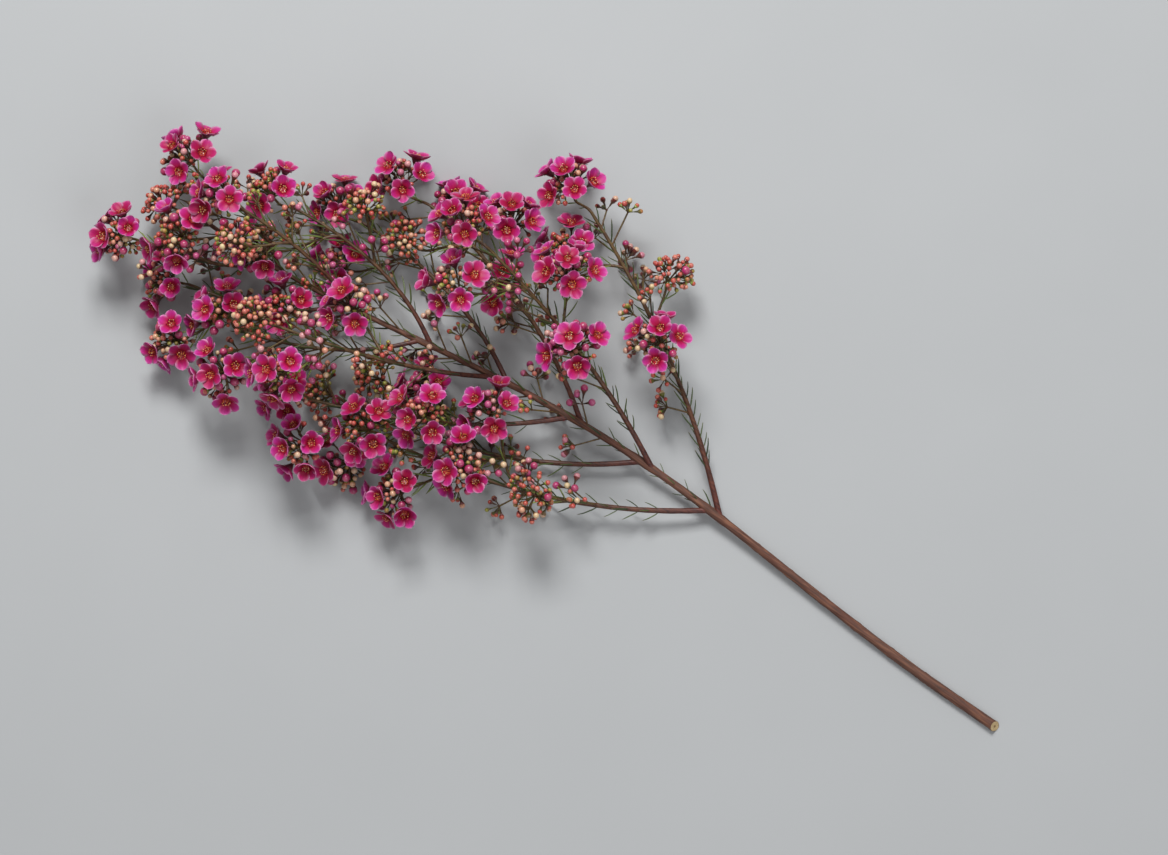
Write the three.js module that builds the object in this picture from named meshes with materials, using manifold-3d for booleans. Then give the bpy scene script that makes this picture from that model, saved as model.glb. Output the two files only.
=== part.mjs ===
// A cut stem of waxflower, lying on a surface: a woody main stem, leafy side branches in near-opposite
// pairs, and at the end of every twig a flower head of five-petalled flowers and round buds.
// Millimetres, +Z up. The origin is the small flat under the cut end on which the stem rests, and the
// stem runs from there along +Y. The solids carry every flower, and a share of the buds and leaves.
import * as THREE from "three";
import Module from "manifold-3d";

const wasm = await Module();
wasm.setup();

// ---- Driving dimensions ----
const STEM_LENGTH = 540;
const STEM_RADIUS = 3.1; // at the cut end
const STEM_TIP_RADIUS = 1.1;
const STEM_SIDES = 6; // one of them down, so that the cut end rests flat
const HEEL_LENGTH = 36; // straight, level stretch at the cut end
const STEM_SWAY = 26; // how far the stem wanders sideways
const STEM_SWAY_RATE = 5.5;
const STEM_RISE = 27; // how far the side branches hold its tip up
const CUT_SLANT = 0.8; // rise over run of the slanting cut

const PAIRS = 7; // of side branches
const FIRST_PAIR = 0.36; // as shares of the stem's length
const PAIR_STEP = 0.088;
const PAIR_OFFSET = 0.014; // the two of a pair aren't quite opposite
const BRANCH_LENGTH = 185; // of the lowest pair
const BRANCH_RADIUS = 1.75; // of the longest
const BRANCH_TIP_RADIUS = 0.95;
const BRANCH_LEAVES_AT = 40; // degrees from the stem
const BRANCH_SPREAD = 27; // degrees from the stem to the branch's tip
const FLATTENED = 0.62; // lying down squeezes the branches towards the surface
const COLLAR = 7.2; // the branch collar's length, out from the stem's middle
const GAP = 0.3; // between neighbouring nodes

const TWIG_LENGTH = 27; // from a branch to its flower head
const TWIG_RADIUS = 0.8;
const TWIG_ANGLE = 42;
const HEAD_STALK = 4;
const KNOB_RADIUS = 1.7; // of the knob from which a head's stalks spring
const HUB_SET_BACK = 6; // from the middle of a head to where its stalks spring

const PETALS = 5;
const FUNNEL_LENGTH = 4.8;
const MOUTH_RADIUS = 2.8;
const PETAL_LENGTH = 6.2;
const PETAL_HALF_WIDTH = 3.3;
const PETAL_THICKNESS = 1.3; // where it leaves the mouth
const CUP_DEPTH = 2;
const STALK_RADIUS = 0.58;

const LEAF_LENGTH = 14;
const LEAF_RADIUS = 0.75; // where it leaves its twig
const LEAF_STEP = 6; // between leaf pairs along a branch
const MODELLED_LEAF_STRIDE = 18; // every so many leaves is in the solids
const RIPE_BUDS = { open: 8, young: 1 }; // that a head has room for at most
const MIDDLE_FLOWERS = 0.75; // share of open heads that also have a flower in their middle
const SPIRAL = 2.4; // radians round the head from one bud stalk to the next
const MODELLED_BUDS = { open: 1, young: 4 }; // of a head's buds are in the solids
const STALKS_APART = 41; // degrees at least, so that their rings on the knob don't meet

const SEED = 20;
const BARK = new THREE.MeshStandardMaterial({ color: "#6b3d2b", roughness: 0.75, metalness: 0 });
const LEAFY = new THREE.MeshStandardMaterial({ color: "#5d6b2c", roughness: 0.55, metalness: 0 });
const BLOOM = new THREE.MeshStandardMaterial({ color: "#c43a8a", roughness: 0.45, metalness: 0 });

// ---- Small tools ----
const UP = new THREE.Vector3(0, 0, 1);
const degrees = THREE.MathUtils.degToRad;
const vec = (x, y, z) => new THREE.Vector3(x, y, z);
const along = (point, direction, distance) => point.clone().addScaledVector(direction, distance);
const blend = (...parts) => {
  const sum = vec(0, 0, 0);
  for (const [vector, share] of parts) sum.addScaledVector(vector, share);
  return sum.normalize();
};

// A stream of random numbers from 0 to 1 that is the same on every machine.
function stream(number) {
  let state = SEED + 7919 * number;
  const next = () => {
    state = (1664525 * state + 1013904223) % 4294967296;
    return state / 4294967296;
  };
  for (let i = 0; i < 4; i++) next();
  return (low, high) => low + (high - low) * next();
}

// Two directions across an axis.
function across(axis) {
  const helper = Math.abs(axis.z) < 0.95 ? UP : vec(1, 0, 0);
  const first = helper.clone().cross(axis).normalize();
  return [first, axis.clone().cross(first)];
}

// The direction that leans off the axis by one angle and round it by another.
function leaning(axis, lean, turn) {
  const [first, second] = across(axis);
  return blend(
    [axis, Math.cos(lean)],
    [first, Math.sin(lean) * Math.cos(turn)],
    [second, Math.sin(lean) * Math.sin(turn)],
  );
}

// A smooth path from the first point to the last, as a function of the share of the way.
const curve = (...points) => (t) => {
  const row = points.map((p) => p.clone());
  for (let n = row.length - 1; n > 0; n--)
    for (let i = 0; i < n; i++) row[i].lerp(row[i + 1], t);
  return row[0];
};
const sampled = (path, count) => Array.from({ length: count + 1 }, (_, i) => path(i / count));

function directionOn(path, t) {
  const from = Math.min(t, 0.998);
  return path(from + 0.002).sub(path(from)).normalize();
}

function lengthOf(path) {
  const points = sampled(path, 12);
  return points.slice(1).reduce((sum, p, i) => sum + p.distanceTo(points[i]), 0);
}

// ---- The clearance ledger: what space is taken, as small balls, and by which node and kind ----
const taken = [];
const ledgerRow = (point, radius, node, kind) => ({ point, radius, node, kind });

function isClear(balls, gap, ignore) {
  return balls.every((ball) =>
    taken.every(
      (other) =>
        ignore(other) || ball.point.distanceTo(other.point) >= ball.radius + other.radius + gap,
    ),
  );
}

const ROUNDING = 1e-6; // keeps a length of a whole number of steps from taking one more

function ballsAlong(path, radius, node, kind, step = 2.5) {
  const count = Math.max(2, Math.ceil(lengthOf(path) / step - ROUNDING));
  return sampled(path, count).map((p) => ledgerRow(p, radius, node, kind));
}

// ---- The main stem ----
function stemPoint(share) {
  const t = Math.max(0, share - HEEL_LENGTH / STEM_LENGTH);
  return vec(
    STEM_SWAY * t * Math.sin(STEM_SWAY_RATE * t),
    share * STEM_LENGTH - HEEL_LENGTH / 2,
    STEM_RADIUS * Math.cos(Math.PI / STEM_SIDES) + STEM_RISE * t ** 1.4,
  );
}

function stemRadius(share) {
  const t = Math.max(0, share - HEEL_LENGTH / STEM_LENGTH);
  return THREE.MathUtils.lerp(STEM_RADIUS, STEM_TIP_RADIUS, t ** 0.9);
}

const STEM = "main_stem";
for (let i = 0; i <= 256; i++)
  taken.push(ledgerRow(stemPoint(i / 256), stemRadius(i / 256), STEM, "twig"));

// ---- Side branches ----
// Pairs stand alternately level and upright, so that each crosses the next. Those that would point
// into the surface are pressed aside along it.
function branchAzimuth(pair, side) {
  const turned = [
    [12, 168],
    [62, 202],
    [8, 172],
    [-22, 118],
  ];
  return turned[pair % 4][side];
}

function growBranch(pair, side) {
  const number = 2 * pair + side;
  const random = stream(number);
  const share = FIRST_PAIR + PAIR_STEP * pair + PAIR_OFFSET * side;
  const height = (share - FIRST_PAIR) / (1 - FIRST_PAIR);
  const length = BRANCH_LENGTH * (1 - 0.9 * height) ** 0.8 * random(0.95, 1.05);
  const forward = directionOn(stemPoint, share);
  const right = forward.clone().cross(UP).normalize();
  const turn = degrees(branchAzimuth(pair, side) + random(-6, 6));
  const outward = blend([right, Math.cos(turn)], [UP, Math.sin(turn) * FLATTENED]);
  const leaves = degrees(BRANCH_LEAVES_AT);
  const spread = degrees(BRANCH_SPREAD - 7 * height + random(-3, 3));
  const middle = stemPoint(share);
  const start = blend([forward, Math.cos(leaves)], [outward, Math.sin(leaves)]);
  const end = along(middle, blend([forward, Math.cos(spread)], [outward, Math.sin(spread)]), length);
  const elbow = along(middle, start, 0.5 * length);
  elbow.z = Math.max(elbow.z, 7);
  end.z = Math.max(end.z, 7);
  const path = curve(along(middle, start, COLLAR), elbow, end);
  const name = `leafy_branch_${String(number + 1).padStart(2, "0")}`;
  const radius = BRANCH_RADIUS * (0.55 + (0.45 * length) / BRANCH_LENGTH);
  return { name, length, path, start, middle, radius };
}

const branches = [];
for (let pair = 0; pair < PAIRS; pair++)
  for (let side = 0; side < 2; side++) branches.push(growBranch(pair, side));
for (const b of branches) taken.push(...ballsAlong(b.path, b.radius, b.name, "twig"));

// ---- Flower heads: where each one sits ----
const LENGTH_FOR_HEADS = [0, 76, 97, 138]; // a branch has a further head past each of these
const headCount = (length) => LENGTH_FOR_HEADS.filter((least) => length > least).length;
const HEAD_SIZE = { open: 19, young: 12.5 };
const YOUNG_EVERY = 5; // heads, one has no open flower yet

function headSite(carrier, at, order, side) {
  const number = sites.length;
  const random = stream(100 + number);
  const kind = number % YOUNG_EVERY === 2 ? "young" : "open";
  const size = HEAD_SIZE[kind];
  const root = carrier.path(at);
  const forward = directionOn(carrier.path, at);
  const [first, second] = across(forward);
  const turn = degrees([0, 15, 165, 80][order] + random(-15, 15)) * (side ? 1 : -1);
  const aside = blend([first, Math.cos(turn)], [second, Math.abs(Math.sin(turn))]);
  const angle = degrees(order === 0 ? 4 : TWIG_ANGLE);
  const reach = order === 0 ? 8 : TWIG_LENGTH * random(0.85, 1.15);
  const way = blend([forward, Math.cos(angle)], [aside, Math.sin(angle)]);
  const home = along(root, way, reach + 0.6 * size);
  return { number, kind, size, carrier, at, root, way, home, centre: home.clone() };
}

const sites = [];
for (const [index, branch] of branches.entries()) {
  const count = headCount(branch.length);
  for (let order = 0; order < count; order++)
    sites.push(headSite(branch, 1 - order * (0.6 / count + 0.045), order, index % 2));
}
const leader = { name: STEM, path: stemPoint };
sites.push(headSite(leader, 1, 0, 0));
sites.push(headSite(leader, 0.955, 1, 1));

// Heads crowd each other and the twigs apart, as they do while they grow, but stay near their place.
const PUSHES = 90;
const LOWEST_HEAD = 0.5; // the height of its middle as a share of its size: it's pressed flat
const LOWEST_FOOT = 3; // of a head's stalk above the surface
const twigPoints = taken.filter((_, i) => i % 2 === 0);
for (let round = 0; round < PUSHES; round++) {
  for (let i = 0; i < sites.length; i++)
    for (let j = i + 1; j < sites.length; j++) {
      const between = sites[j].centre.clone().sub(sites[i].centre);
      const short = sites[i].size + sites[j].size - 1 - between.length();
      if (short <= 0) continue;
      between.setLength(short * 0.3);
      sites[j].centre.add(between);
      sites[i].centre.sub(between);
    }
  for (const site of sites) {
    const nearest = twigPoints
      .filter((twig) => twig.node !== site.carrier.name || twig.point.distanceTo(site.root) >= 30)
      .map((twig) => twig.point)
      .reduce((a, b) => (b.distanceTo(site.centre) < a.distanceTo(site.centre) ? b : a));
    const away = site.centre.clone().sub(nearest);
    const short = 0.9 * site.size + TWIG_RADIUS - away.length();
    if (short > 0) site.centre.add(away.setLength(short * 0.3));
    site.centre.lerp(site.home, 0.03);
    site.centre.z = Math.max(site.centre.z, LOWEST_HEAD * site.size);
  }
}

// The twig bends from its branch to the head, round what is in its way.
const DETOURS = [0, 7, -7, 14, -14, 21];

function twigVia(site, detour) {
  const reach = site.foot.distanceTo(site.root);
  const elbows = [
    along(site.root, site.way, 0.4 * reach),
    along(site.foot, site.axis, -0.35 * reach),
  ];
  const [aside, above] = across(site.foot.clone().sub(site.root).normalize());
  for (const elbow of elbows) {
    elbow.addScaledVector(above, detour).addScaledVector(aside, 0.5 * detour);
    elbow.z = Math.max(elbow.z, 2);
  }
  return curve(site.root, ...elbows, site.foot);
}

function finishHead(site) {
  const nearest = stemPoint(THREE.MathUtils.clamp((site.centre.y - 30) / STEM_LENGTH, 0, 1));
  const outward = site.centre.clone().sub(nearest).normalize();
  const way = site.centre.clone().sub(site.root).normalize();
  site.axis = blend([way, 0.5], [outward, 0.35], [UP, 0.7]);
  site.name = `flower_head_${String(site.number + 1).padStart(2, "0")}`;
  site.foot = along(site.centre, site.axis, -HUB_SET_BACK - HEAD_STALK);
  site.foot.z = Math.max(site.foot.z, LOWEST_FOOT);
  site.hub = along(site.foot, site.axis, HEAD_STALK);
  site.stalk = curve(site.foot, site.hub);
  const own = (other) => other.node === site.carrier.name;
  const balls = (twig) => ballsAlong(twig, TWIG_RADIUS, site.carrier.name, "twig");
  const twigs = DETOURS.map((detour) => twigVia(site, detour));
  site.twig = twigs.find((twig) => isClear(balls(twig), 1, own)) ?? twigs[0];
  taken.push(...balls(site.twig));
}

sites.forEach(finishHead);
for (const site of sites)
  taken.push(...ballsAlong(site.stalk, TWIG_RADIUS, site.name, "stalk", 2));

// ---- Flowers and buds ----
// A petal's outline, from the funnel's mouth outwards and across its middle line.
const PETAL_OUTLINE = [
  [0.5 * PETAL_LENGTH, -PETAL_HALF_WIDTH],
  [PETAL_LENGTH, 0],
  [0.5 * PETAL_LENGTH, PETAL_HALF_WIDTH],
];
const MOUTH_APOTHEM = MOUTH_RADIUS * Math.cos(Math.PI / PETALS);

// A point of a flower from its own height, distance out and angle round its axis.
function onFlower(flower, height, out, turn) {
  const [first, second] = flower.across;
  const scale = flower.scale;
  return along(flower.base, flower.axis, height * scale)
    .addScaledVector(first, out * scale * Math.cos(turn))
    .addScaledVector(second, out * scale * Math.sin(turn));
}

function onPetal(flower, petal, outwards, aside) {
  const turn = flower.spin + (2 * Math.PI * petal) / PETALS;
  const out = MOUTH_APOTHEM + outwards * Math.cos(flower.lift);
  const height = FUNNEL_LENGTH + outwards * Math.sin(flower.lift);
  const most = 0.96 * out * Math.tan(Math.PI / PETALS);
  const off = THREE.MathUtils.clamp(aside, -most, most);
  return onFlower(flower, height, Math.hypot(out, off), turn + Math.atan2(off, out));
}

function petalTips(flower) {
  const tips = [];
  for (let petal = 0; petal < PETALS; petal++)
    for (const [outwards, aside] of PETAL_OUTLINE)
      tips.push(onPetal(flower, petal, outwards, aside));
  return tips;
}

function flowerBalls(flower, node) {
  const balls = [ledgerRow(onFlower(flower, FUNNEL_LENGTH * 0.8, 0, 0), 2.4, node, "flower")];
  for (let petal = 0; petal < PETALS; petal++)
    balls.push(
      ledgerRow(onPetal(flower, petal, 0.3 * PETAL_LENGTH, 0), 2.1, node, "flower"),
      ledgerRow(onPetal(flower, petal, 0.68 * PETAL_LENGTH, 0), 2.2, node, "flower"),
    );
  return balls;
}

const organs = new Map(sites.map((site) => [site.name, []]));
const ORGAN_GAP = 0.35;

// Puts an organ in its head if there's room for it and for its stalk.
function settle(site, organ, balls) {
  const path = curve(organ.from, organ.base);
  const stalk = ballsAlong(path, STALK_RADIUS, site.name, "stalk", 2);
  const ownStalk = (other) => other.node === site.name && other.kind === "stalk";
  const atRoot = (other) => ownStalk(other) && other.point.distanceTo(organ.from) < 4;
  const atFoot = (other) =>
    other.node === site.carrier.name && other.point.distanceTo(site.foot) < 3.2;
  if (!isClear(balls, ORGAN_GAP, atRoot)) return false;
  if (!isClear(stalk, ORGAN_GAP, (other) => ownStalk(other) || atFoot(other))) return false;
  taken.push(...balls, ...stalk);
  organs.get(site.name).push(organ);
  return true;
}

function tryFlower(site, random, lean, turn, reach) {
  const way = leaning(site.axis, lean, turn);
  const flower = {
    kind: "flower",
    spring: way,
    from: along(site.hub, way, KNOB_RADIUS),
    base: along(site.hub, way, reach),
    scale: random(0.96, 1.12),
    lift: degrees(random(8, 34)),
    spin: random(0, 2 * Math.PI),
  };
  flower.axis = blend([way, 0.85], [site.axis, 0.2], [UP, 0.3]);
  flower.across = across(flower.axis);
  const lowest = Math.min(...petalTips(flower).map((p) => p.z));
  flower.base.z += Math.max(0, -lowest);
  return settle(site, flower, flowerBalls(flower, site.name));
}

function tryBud(site, spring, from, axis, reach, radius, stage, stalkRadius) {
  const base = along(from, axis, reach);
  const middle = along(base, axis, radius * 1.5);
  const lift = Math.max(0, radius - middle.z);
  base.z += lift;
  middle.z += lift;
  const bud = { kind: "bud", spring, from, base, axis, radius, stage, stalkRadius };
  return settle(site, bud, [ledgerRow(middle, radius, site.name, "bud")]);
}

// A tuft: a stalk that forks into a small dome of buds. With no room for a bud there's no stalk.
function growTuft(site, random, lean, turn, count, stage) {
  const way = leaning(site.axis, lean, turn);
  const root = along(site.hub, way, KNOB_RADIUS);
  const fork = along(site.hub, way, random(6, 9.5));
  fork.z = Math.max(fork.z, 2);
  if (!settle(site, { kind: "fork", from: root, base: fork }, [])) return;
  const list = organs.get(site.name);
  const before = list.length;
  const phase = random(0, 2 * Math.PI);
  for (let i = 0; i < count; i++) {
    const ring = i === 0 ? 8 : 44;
    const budLean = degrees(ring + random(-7, 7));
    const budTurn = phase + (2 * Math.PI * i) / Math.max(1, count - 1);
    const budWay = leaning(way, budLean, budTurn);
    const budStage = stage + random(-0.12, 0.12);
    const radius = 1.25 + 1.1 * budStage;
    tryBud(site, way, fork, budWay, random(3.2, 4.4) + radius, radius, budStage, 0.4);
  }
  if (list.length === before) list.pop();
}

// A ripe bud, about to open, on a stalk of its own.
function growRipeBud(site, random, turn) {
  const lean = degrees(random(15, 75));
  const radius = random(2.2, 2.75);
  const reach = random(8, 11);
  for (let attempt = 0; attempt < 5; attempt++) {
    const way = leaning(site.axis, lean, turn + 0.5 * attempt);
    const root = along(site.hub, way, KNOB_RADIUS);
    if (tryBud(site, way, root, way, reach, radius, 1, STALK_RADIUS)) return;
  }
}

function growFlowers(site) {
  if (site.kind === "young") return;
  const random = stream(200 + site.number);
  const count = random(0, 1) < 0.35 ? 4 : 5;
  const phase = random(0, 2 * Math.PI);
  if (random(0, 1) < MIDDLE_FLOWERS)
    tryFlower(site, random, degrees(random(6, 20)), phase, random(11, 14));
  for (let i = 0; i < count; i++) {
    const turn = phase + (2 * Math.PI * i) / count;
    for (let attempt = 0; attempt < 5; attempt++) {
      const lean = degrees(random(52, 72) + 4 * attempt * (i % 2 ? 1 : -1));
      if (tryFlower(site, random, lean, turn + random(-0.15, 0.15), random(9.5, 14.5))) break;
    }
  }
}

function growBuds(site) {
  const random = stream(300 + site.number);
  const young = site.kind === "young";
  const phase = random(0, 2 * Math.PI);
  growTuft(site, random, degrees(random(2, 12)), phase, 6, random(0.15, young ? 0.5 : 0.8));
  for (let i = 1; i <= RIPE_BUDS[site.kind]; i++) growRipeBud(site, random, phase + SPIRAL * i);
  for (let i = 1; i <= 5; i++) {
    const lean = degrees(random(32, 58));
    growTuft(site, random, lean, phase + SPIRAL * i, 5, random(0.08, young ? 0.45 : 0.85));
  }
}

sites.forEach(growFlowers);
sites.forEach(growBuds);

// ---- Leaves: needles in opposite pairs, each pair across the last ----
const leaves = new Map([STEM, ...branches.map((b) => b.name)].map((name) => [name, []]));

function tryLeaf(node, random, root, forward, turn, length, youth) {
  const way = leaning(forward, degrees(random(32, 52)), turn);
  const tip = along(root, blend([way, 0.8], [forward, 0.3]), length);
  tip.z = Math.max(tip.z, LEAF_RADIUS + 0.2);
  const direction = tip.clone().sub(root).normalize();
  const free = along(root, direction, 0.25 * length);
  const balls = ballsAlong(curve(free, tip), LEAF_RADIUS + 0.1, node, "leaf");
  const ignore = (other) => other.node === node && other.kind !== "leaf";
  if (!isClear(balls, ORGAN_GAP, ignore)) return;
  taken.push(...balls);
  leaves.get(node).push({ root, tip, forward, youth });
}

function growLeaves(node, number, path, from, to, step, youth) {
  const random = stream(400 + number);
  const pairs = Math.floor(((to - from) * lengthOf(path)) / step);
  const phase = random(0, Math.PI);
  for (let i = 0; i < pairs; i++) {
    const t = from + ((to - from) * (i + 0.5)) / pairs;
    const root = path(t);
    const forward = directionOn(path, t);
    for (const half of [0, Math.PI]) {
      const turn = phase + half + (i % 2) * (Math.PI / 2) + random(-0.3, 0.3);
      tryLeaf(node, random, root, forward, turn, LEAF_LENGTH * random(0.7, 1.15), youth);
    }
  }
}

branches.forEach((b, i) => growLeaves(b.name, i, b.path, 0.1, 0.97, LEAF_STEP, 0));
growLeaves(STEM, 40, stemPoint, 0.36, 0.98, 1.4 * LEAF_STEP, 0);
sites.forEach((site, i) =>
  growLeaves(site.carrier.name, 50 + i, site.twig, 0.12, 0.9, 0.7 * LEAF_STEP, 1),
);

// ---- Solids ----
// A closed surface built up ring by ring. A ring of one point is a tip.
function surface() {
  const positions = [];
  const indices = [];
  const add = (points) => points.map((p) => positions.push(p.x, p.y, p.z) / 3 - 1);
  const face = (...corners) => indices.push(...corners);
  // The skin between two rings that may differ in their number of points.
  const strip = (low, high) => {
    let i = low.length > 1 ? 0 : 1;
    let j = high.length > 1 ? 0 : 1;
    while (i < low.length || j < high.length) {
      const a = low[i % low.length];
      const b = high[j % high.length];
      const lowFirst = (i + 0.5) / low.length <= (j + 0.5) / high.length;
      if (i < low.length && (lowFirst || j >= high.length)) {
        i += 1;
        face(a, low[i % low.length], b);
      } else {
        j += 1;
        face(a, high[j % high.length], b);
      }
    }
  };
  const lid = (ring) => {
    for (let k = 1; k + 1 < ring.length; k++) face(ring[0], ring[k], ring[k + 1]);
  };
  const geometry = () => {
    const made = new THREE.BufferGeometry();
    made.setAttribute("position", new THREE.Float32BufferAttribute(positions, 3));
    made.setIndex(indices);
    return made;
  };
  return { add, face, strip, lid, geometry };
}

function ring(middle, [first, second], radius, sides, phase = 0) {
  if (radius === 0) return [middle];
  return Array.from({ length: sides }, (_, k) => {
    const turn = phase + (2 * Math.PI * k) / sides;
    const p = along(middle, first, radius * Math.cos(turn));
    return p.addScaledVector(second, radius * Math.sin(turn));
  });
}

// Goes on from a ring along points, with a radius and a number of sides at each, to the last ring.
// The root ring is at the first point, and first is the direction of its first corner.
function limb(made, root, first, points, radii, sides) {
  let last = root;
  let corner = first;
  for (let i = 1; i < points.length; i++) {
    const after = points[Math.min(points.length - 1, i + 1)];
    const direction = after.clone().sub(points[i - 1]).normalize();
    corner = corner.clone().addScaledVector(direction, -corner.dot(direction)).normalize();
    const frame = [corner, direction.clone().cross(corner)];
    const next = made.add(ring(points[i], frame, radii[i], sides[i] ?? sides));
    made.strip(last, next);
    last = next;
  }
  return last;
}

function tube(points, radii, sides, slant = 0) {
  const made = surface();
  const direction = points[1].clone().sub(points[0]).normalize();
  const frame = across(direction);
  const corners = ring(points[0], frame, radii[0], sides);
  for (const p of corners) p.addScaledVector(direction, slant * (p.z - points[0].z));
  const root = made.add(corners);
  made.lid([...root].reverse());
  made.lid(limb(made, root, frame[0], points, radii, sides));
  return made.geometry();
}

// From the ring on the knob: stalk, funnel, sunk middle and five petals, thick where they leave the
// mouth and sharp at the rim.
function addFlower(made, flower, root) {
  const neck = made.add(ring(flower.base, flower.across, STALK_RADIUS * 1.1, 3, flower.spin));
  const mouth = (height, radius) => {
    const middle = onFlower(flower, height, 0, 0);
    const phase = flower.spin - Math.PI / PETALS;
    return made.add(ring(middle, flower.across, radius * flower.scale, PETALS, phase));
  };
  const lower = mouth(FUNNEL_LENGTH - PETAL_THICKNESS, MOUTH_RADIUS * 0.92);
  const upper = mouth(FUNNEL_LENGTH, MOUTH_RADIUS);
  const [dish] = made.add([onFlower(flower, FUNNEL_LENGTH - CUP_DEPTH, 0, 0)]);
  made.strip(root, neck);
  made.strip(neck, lower);
  for (let k = 0; k < PETALS; k++) {
    const next = (k + 1) % PETALS;
    const rim = made.add(PETAL_OUTLINE.map(([out, aside]) => onPetal(flower, k, out, aside)));
    made.lid([upper[k], ...rim, upper[next]]);
    made.lid([lower[k], ...rim, lower[next]].reverse());
    made.face(upper[k], lower[k], rim[0]);
    made.face(upper[next], rim.at(-1), lower[next]);
    made.face(upper[k], upper[next], dish);
  }
}

// From the ring on the knob: a stalk that may fork off halfway, a funnel and a ball.
function addBud(made, bud, root, first, rootPoint) {
  const forks = bud.from.distanceTo(rootPoint) > 1;
  const stalk = forks ? [rootPoint, bud.from, bud.base] : [rootPoint, bud.base];
  const heights = [1.35, 2.1, 2.5].map((height) => along(bud.base, bud.axis, height * bud.radius));
  const radii = [...stalk.map(() => bud.stalkRadius), bud.radius, 0.75 * bud.radius, 0];
  const sides = [...stalk.map(() => 3), 4, 4, 1];
  limb(made, root, first, [...stalk, ...heights], radii, sides);
}

// The flowers of a head, and those of its buds whose stalks spring well clear of the others.
function modelled(site) {
  const list = organs.get(site.name);
  const chosen = list.filter((organ) => organ.kind === "flower");
  const most = chosen.length + MODELLED_BUDS[site.kind];
  const clear = (a, b) => a.spring.angleTo(b.spring) > degrees(STALKS_APART);
  for (const bud of list.filter((organ) => organ.kind === "bud"))
    if (chosen.length < most && chosen.every((other) => clear(other, bud))) chosen.push(bud);
  return chosen;
}

// A head is one surface. Its knob is the hull of the rings from which its stalks spring.
function headGeometry(site) {
  const made = surface();
  const down = site.axis.clone().negate();
  const foot = { spring: down, radius: TWIG_RADIUS, first: across(down)[0] };
  const limbs = modelled(site).map((organ) => {
    const { spring } = organ;
    const [aside, above] = organ.across ?? across(spring);
    const first = aside.clone().multiplyScalar(Math.cos(organ.spin ?? 0));
    first.addScaledVector(above, Math.sin(organ.spin ?? 0));
    first.addScaledVector(spring, -first.dot(spring)).normalize();
    return { organ, spring, first, radius: organ.stalkRadius ?? STALK_RADIUS };
  });
  limbs.push(foot);
  const points = limbs.flatMap((l) => {
    l.root = along(site.hub, l.spring, Math.sqrt(KNOB_RADIUS ** 2 - l.radius ** 2));
    return ring(l.root, [l.first, l.spring.clone().cross(l.first)], l.radius, 3);
  });
  const numbers = made.add(points);
  for (const corners of hullFaces(points)) made.face(...corners.map((n) => numbers[n]));
  limbs.forEach((l, i) => {
    const root = numbers.slice(3 * i, 3 * i + 3);
    if (l.organ?.kind === "flower") addFlower(made, l.organ, root);
    else if (l.organ) addBud(made, l.organ, root, l.first, l.root);
    else {
      const end = along(site.foot, site.axis, GAP);
      made.lid(limb(made, root, l.first, [l.root, end], [l.radius, l.radius], 3));
    }
  });
  return made.geometry();
}

// The triangles of the hull of points in rings of three, without the rings themselves.
function hullFaces(points) {
  const faces = [];
  const count = points.length;
  for (let i = 0; i < count; i++)
    for (let j = i + 1; j < count; j++)
      for (let k = j + 1; k < count; k++) {
        if (Math.floor(i / 3) === Math.floor(k / 3)) continue;
        const toJ = points[j].clone().sub(points[i]);
        const normal = toJ.cross(points[k].clone().sub(points[i]));
        const heights = points.map((p) => normal.dot(p.clone().sub(points[i])));
        const others = heights.filter((_, n) => n !== i && n !== j && n !== k);
        if (others.every((height) => height < 0)) faces.push([i, j, k]);
        if (others.every((height) => height > 0)) faces.push([i, k, j]);
      }
  return faces;
}

function leafGeometry(leaf) {
  return tube([leaf.root, leaf.tip], [LEAF_RADIUS, 0], 3);
}

const SMOOTHED = 0.03; // slivers shorter than this are merged away

function solidOf(geometry) {
  return new wasm.Manifold(
    new wasm.Mesh({
      numProp: 3,
      vertProperties: geometry.attributes.position.array,
      triVerts: new Uint32Array(geometry.index.array),
    }),
  );
}

// Joins the pieces of a node. A hollow that joining seals is filled, and a loose scrap is dropped.
function fused(geometries) {
  const whole = wasm.Manifold.union(geometries.map(solidOf)).simplify(SMOOTHED);
  return whole.decompose().reduce((best, body) => (body.volume() > best.volume() ? body : best));
}

function nodeMesh(name, geometries, foot, material) {
  const made = fused(geometries).getMesh();
  const geometry = new THREE.BufferGeometry();
  geometry.setAttribute("position", new THREE.Float32BufferAttribute(made.vertProperties, 3));
  geometry.setIndex(new THREE.Uint32BufferAttribute(made.triVerts, 1));
  geometry.translate(-foot.x, -foot.y, -foot.z);
  geometry.computeVertexNormals();
  const mesh = new THREE.Mesh(geometry, material.clone());
  mesh.name = name;
  mesh.position.copy(foot);
  return mesh;
}

const everyNth = (list, stride) => list.filter((_, i) => i % stride === 0);

function twigTube(site) {
  const end = [along(site.foot, site.axis, -2), site.foot];
  return tube([0, 0.35, 0.7].map(site.twig).concat(end), Array(5).fill(TWIG_RADIUS), 3);
}

function stemGeometries() {
  const shares = [0, HEEL_LENGTH / STEM_LENGTH];
  for (let i = 1; i <= 13; i++) shares.push(THREE.MathUtils.lerp(shares[1], 1, i / 13));
  const points = shares.map(stemPoint);
  const made = [tube(points, shares.map(stemRadius), STEM_SIDES, CUT_SLANT)];
  for (const b of branches) {
    const end = along(b.middle, b.start, COLLAR - GAP);
    made.push(tube([b.middle, end], [b.radius * 1.1, b.radius], 4));
  }
  return made;
}

function branchGeometry({ path, radius }) {
  const points = sampled(path, 6);
  const radii = points.map((_, i) => THREE.MathUtils.lerp(radius, BRANCH_TIP_RADIUS, i / 6));
  return tube(points, radii, 4);
}

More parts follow.
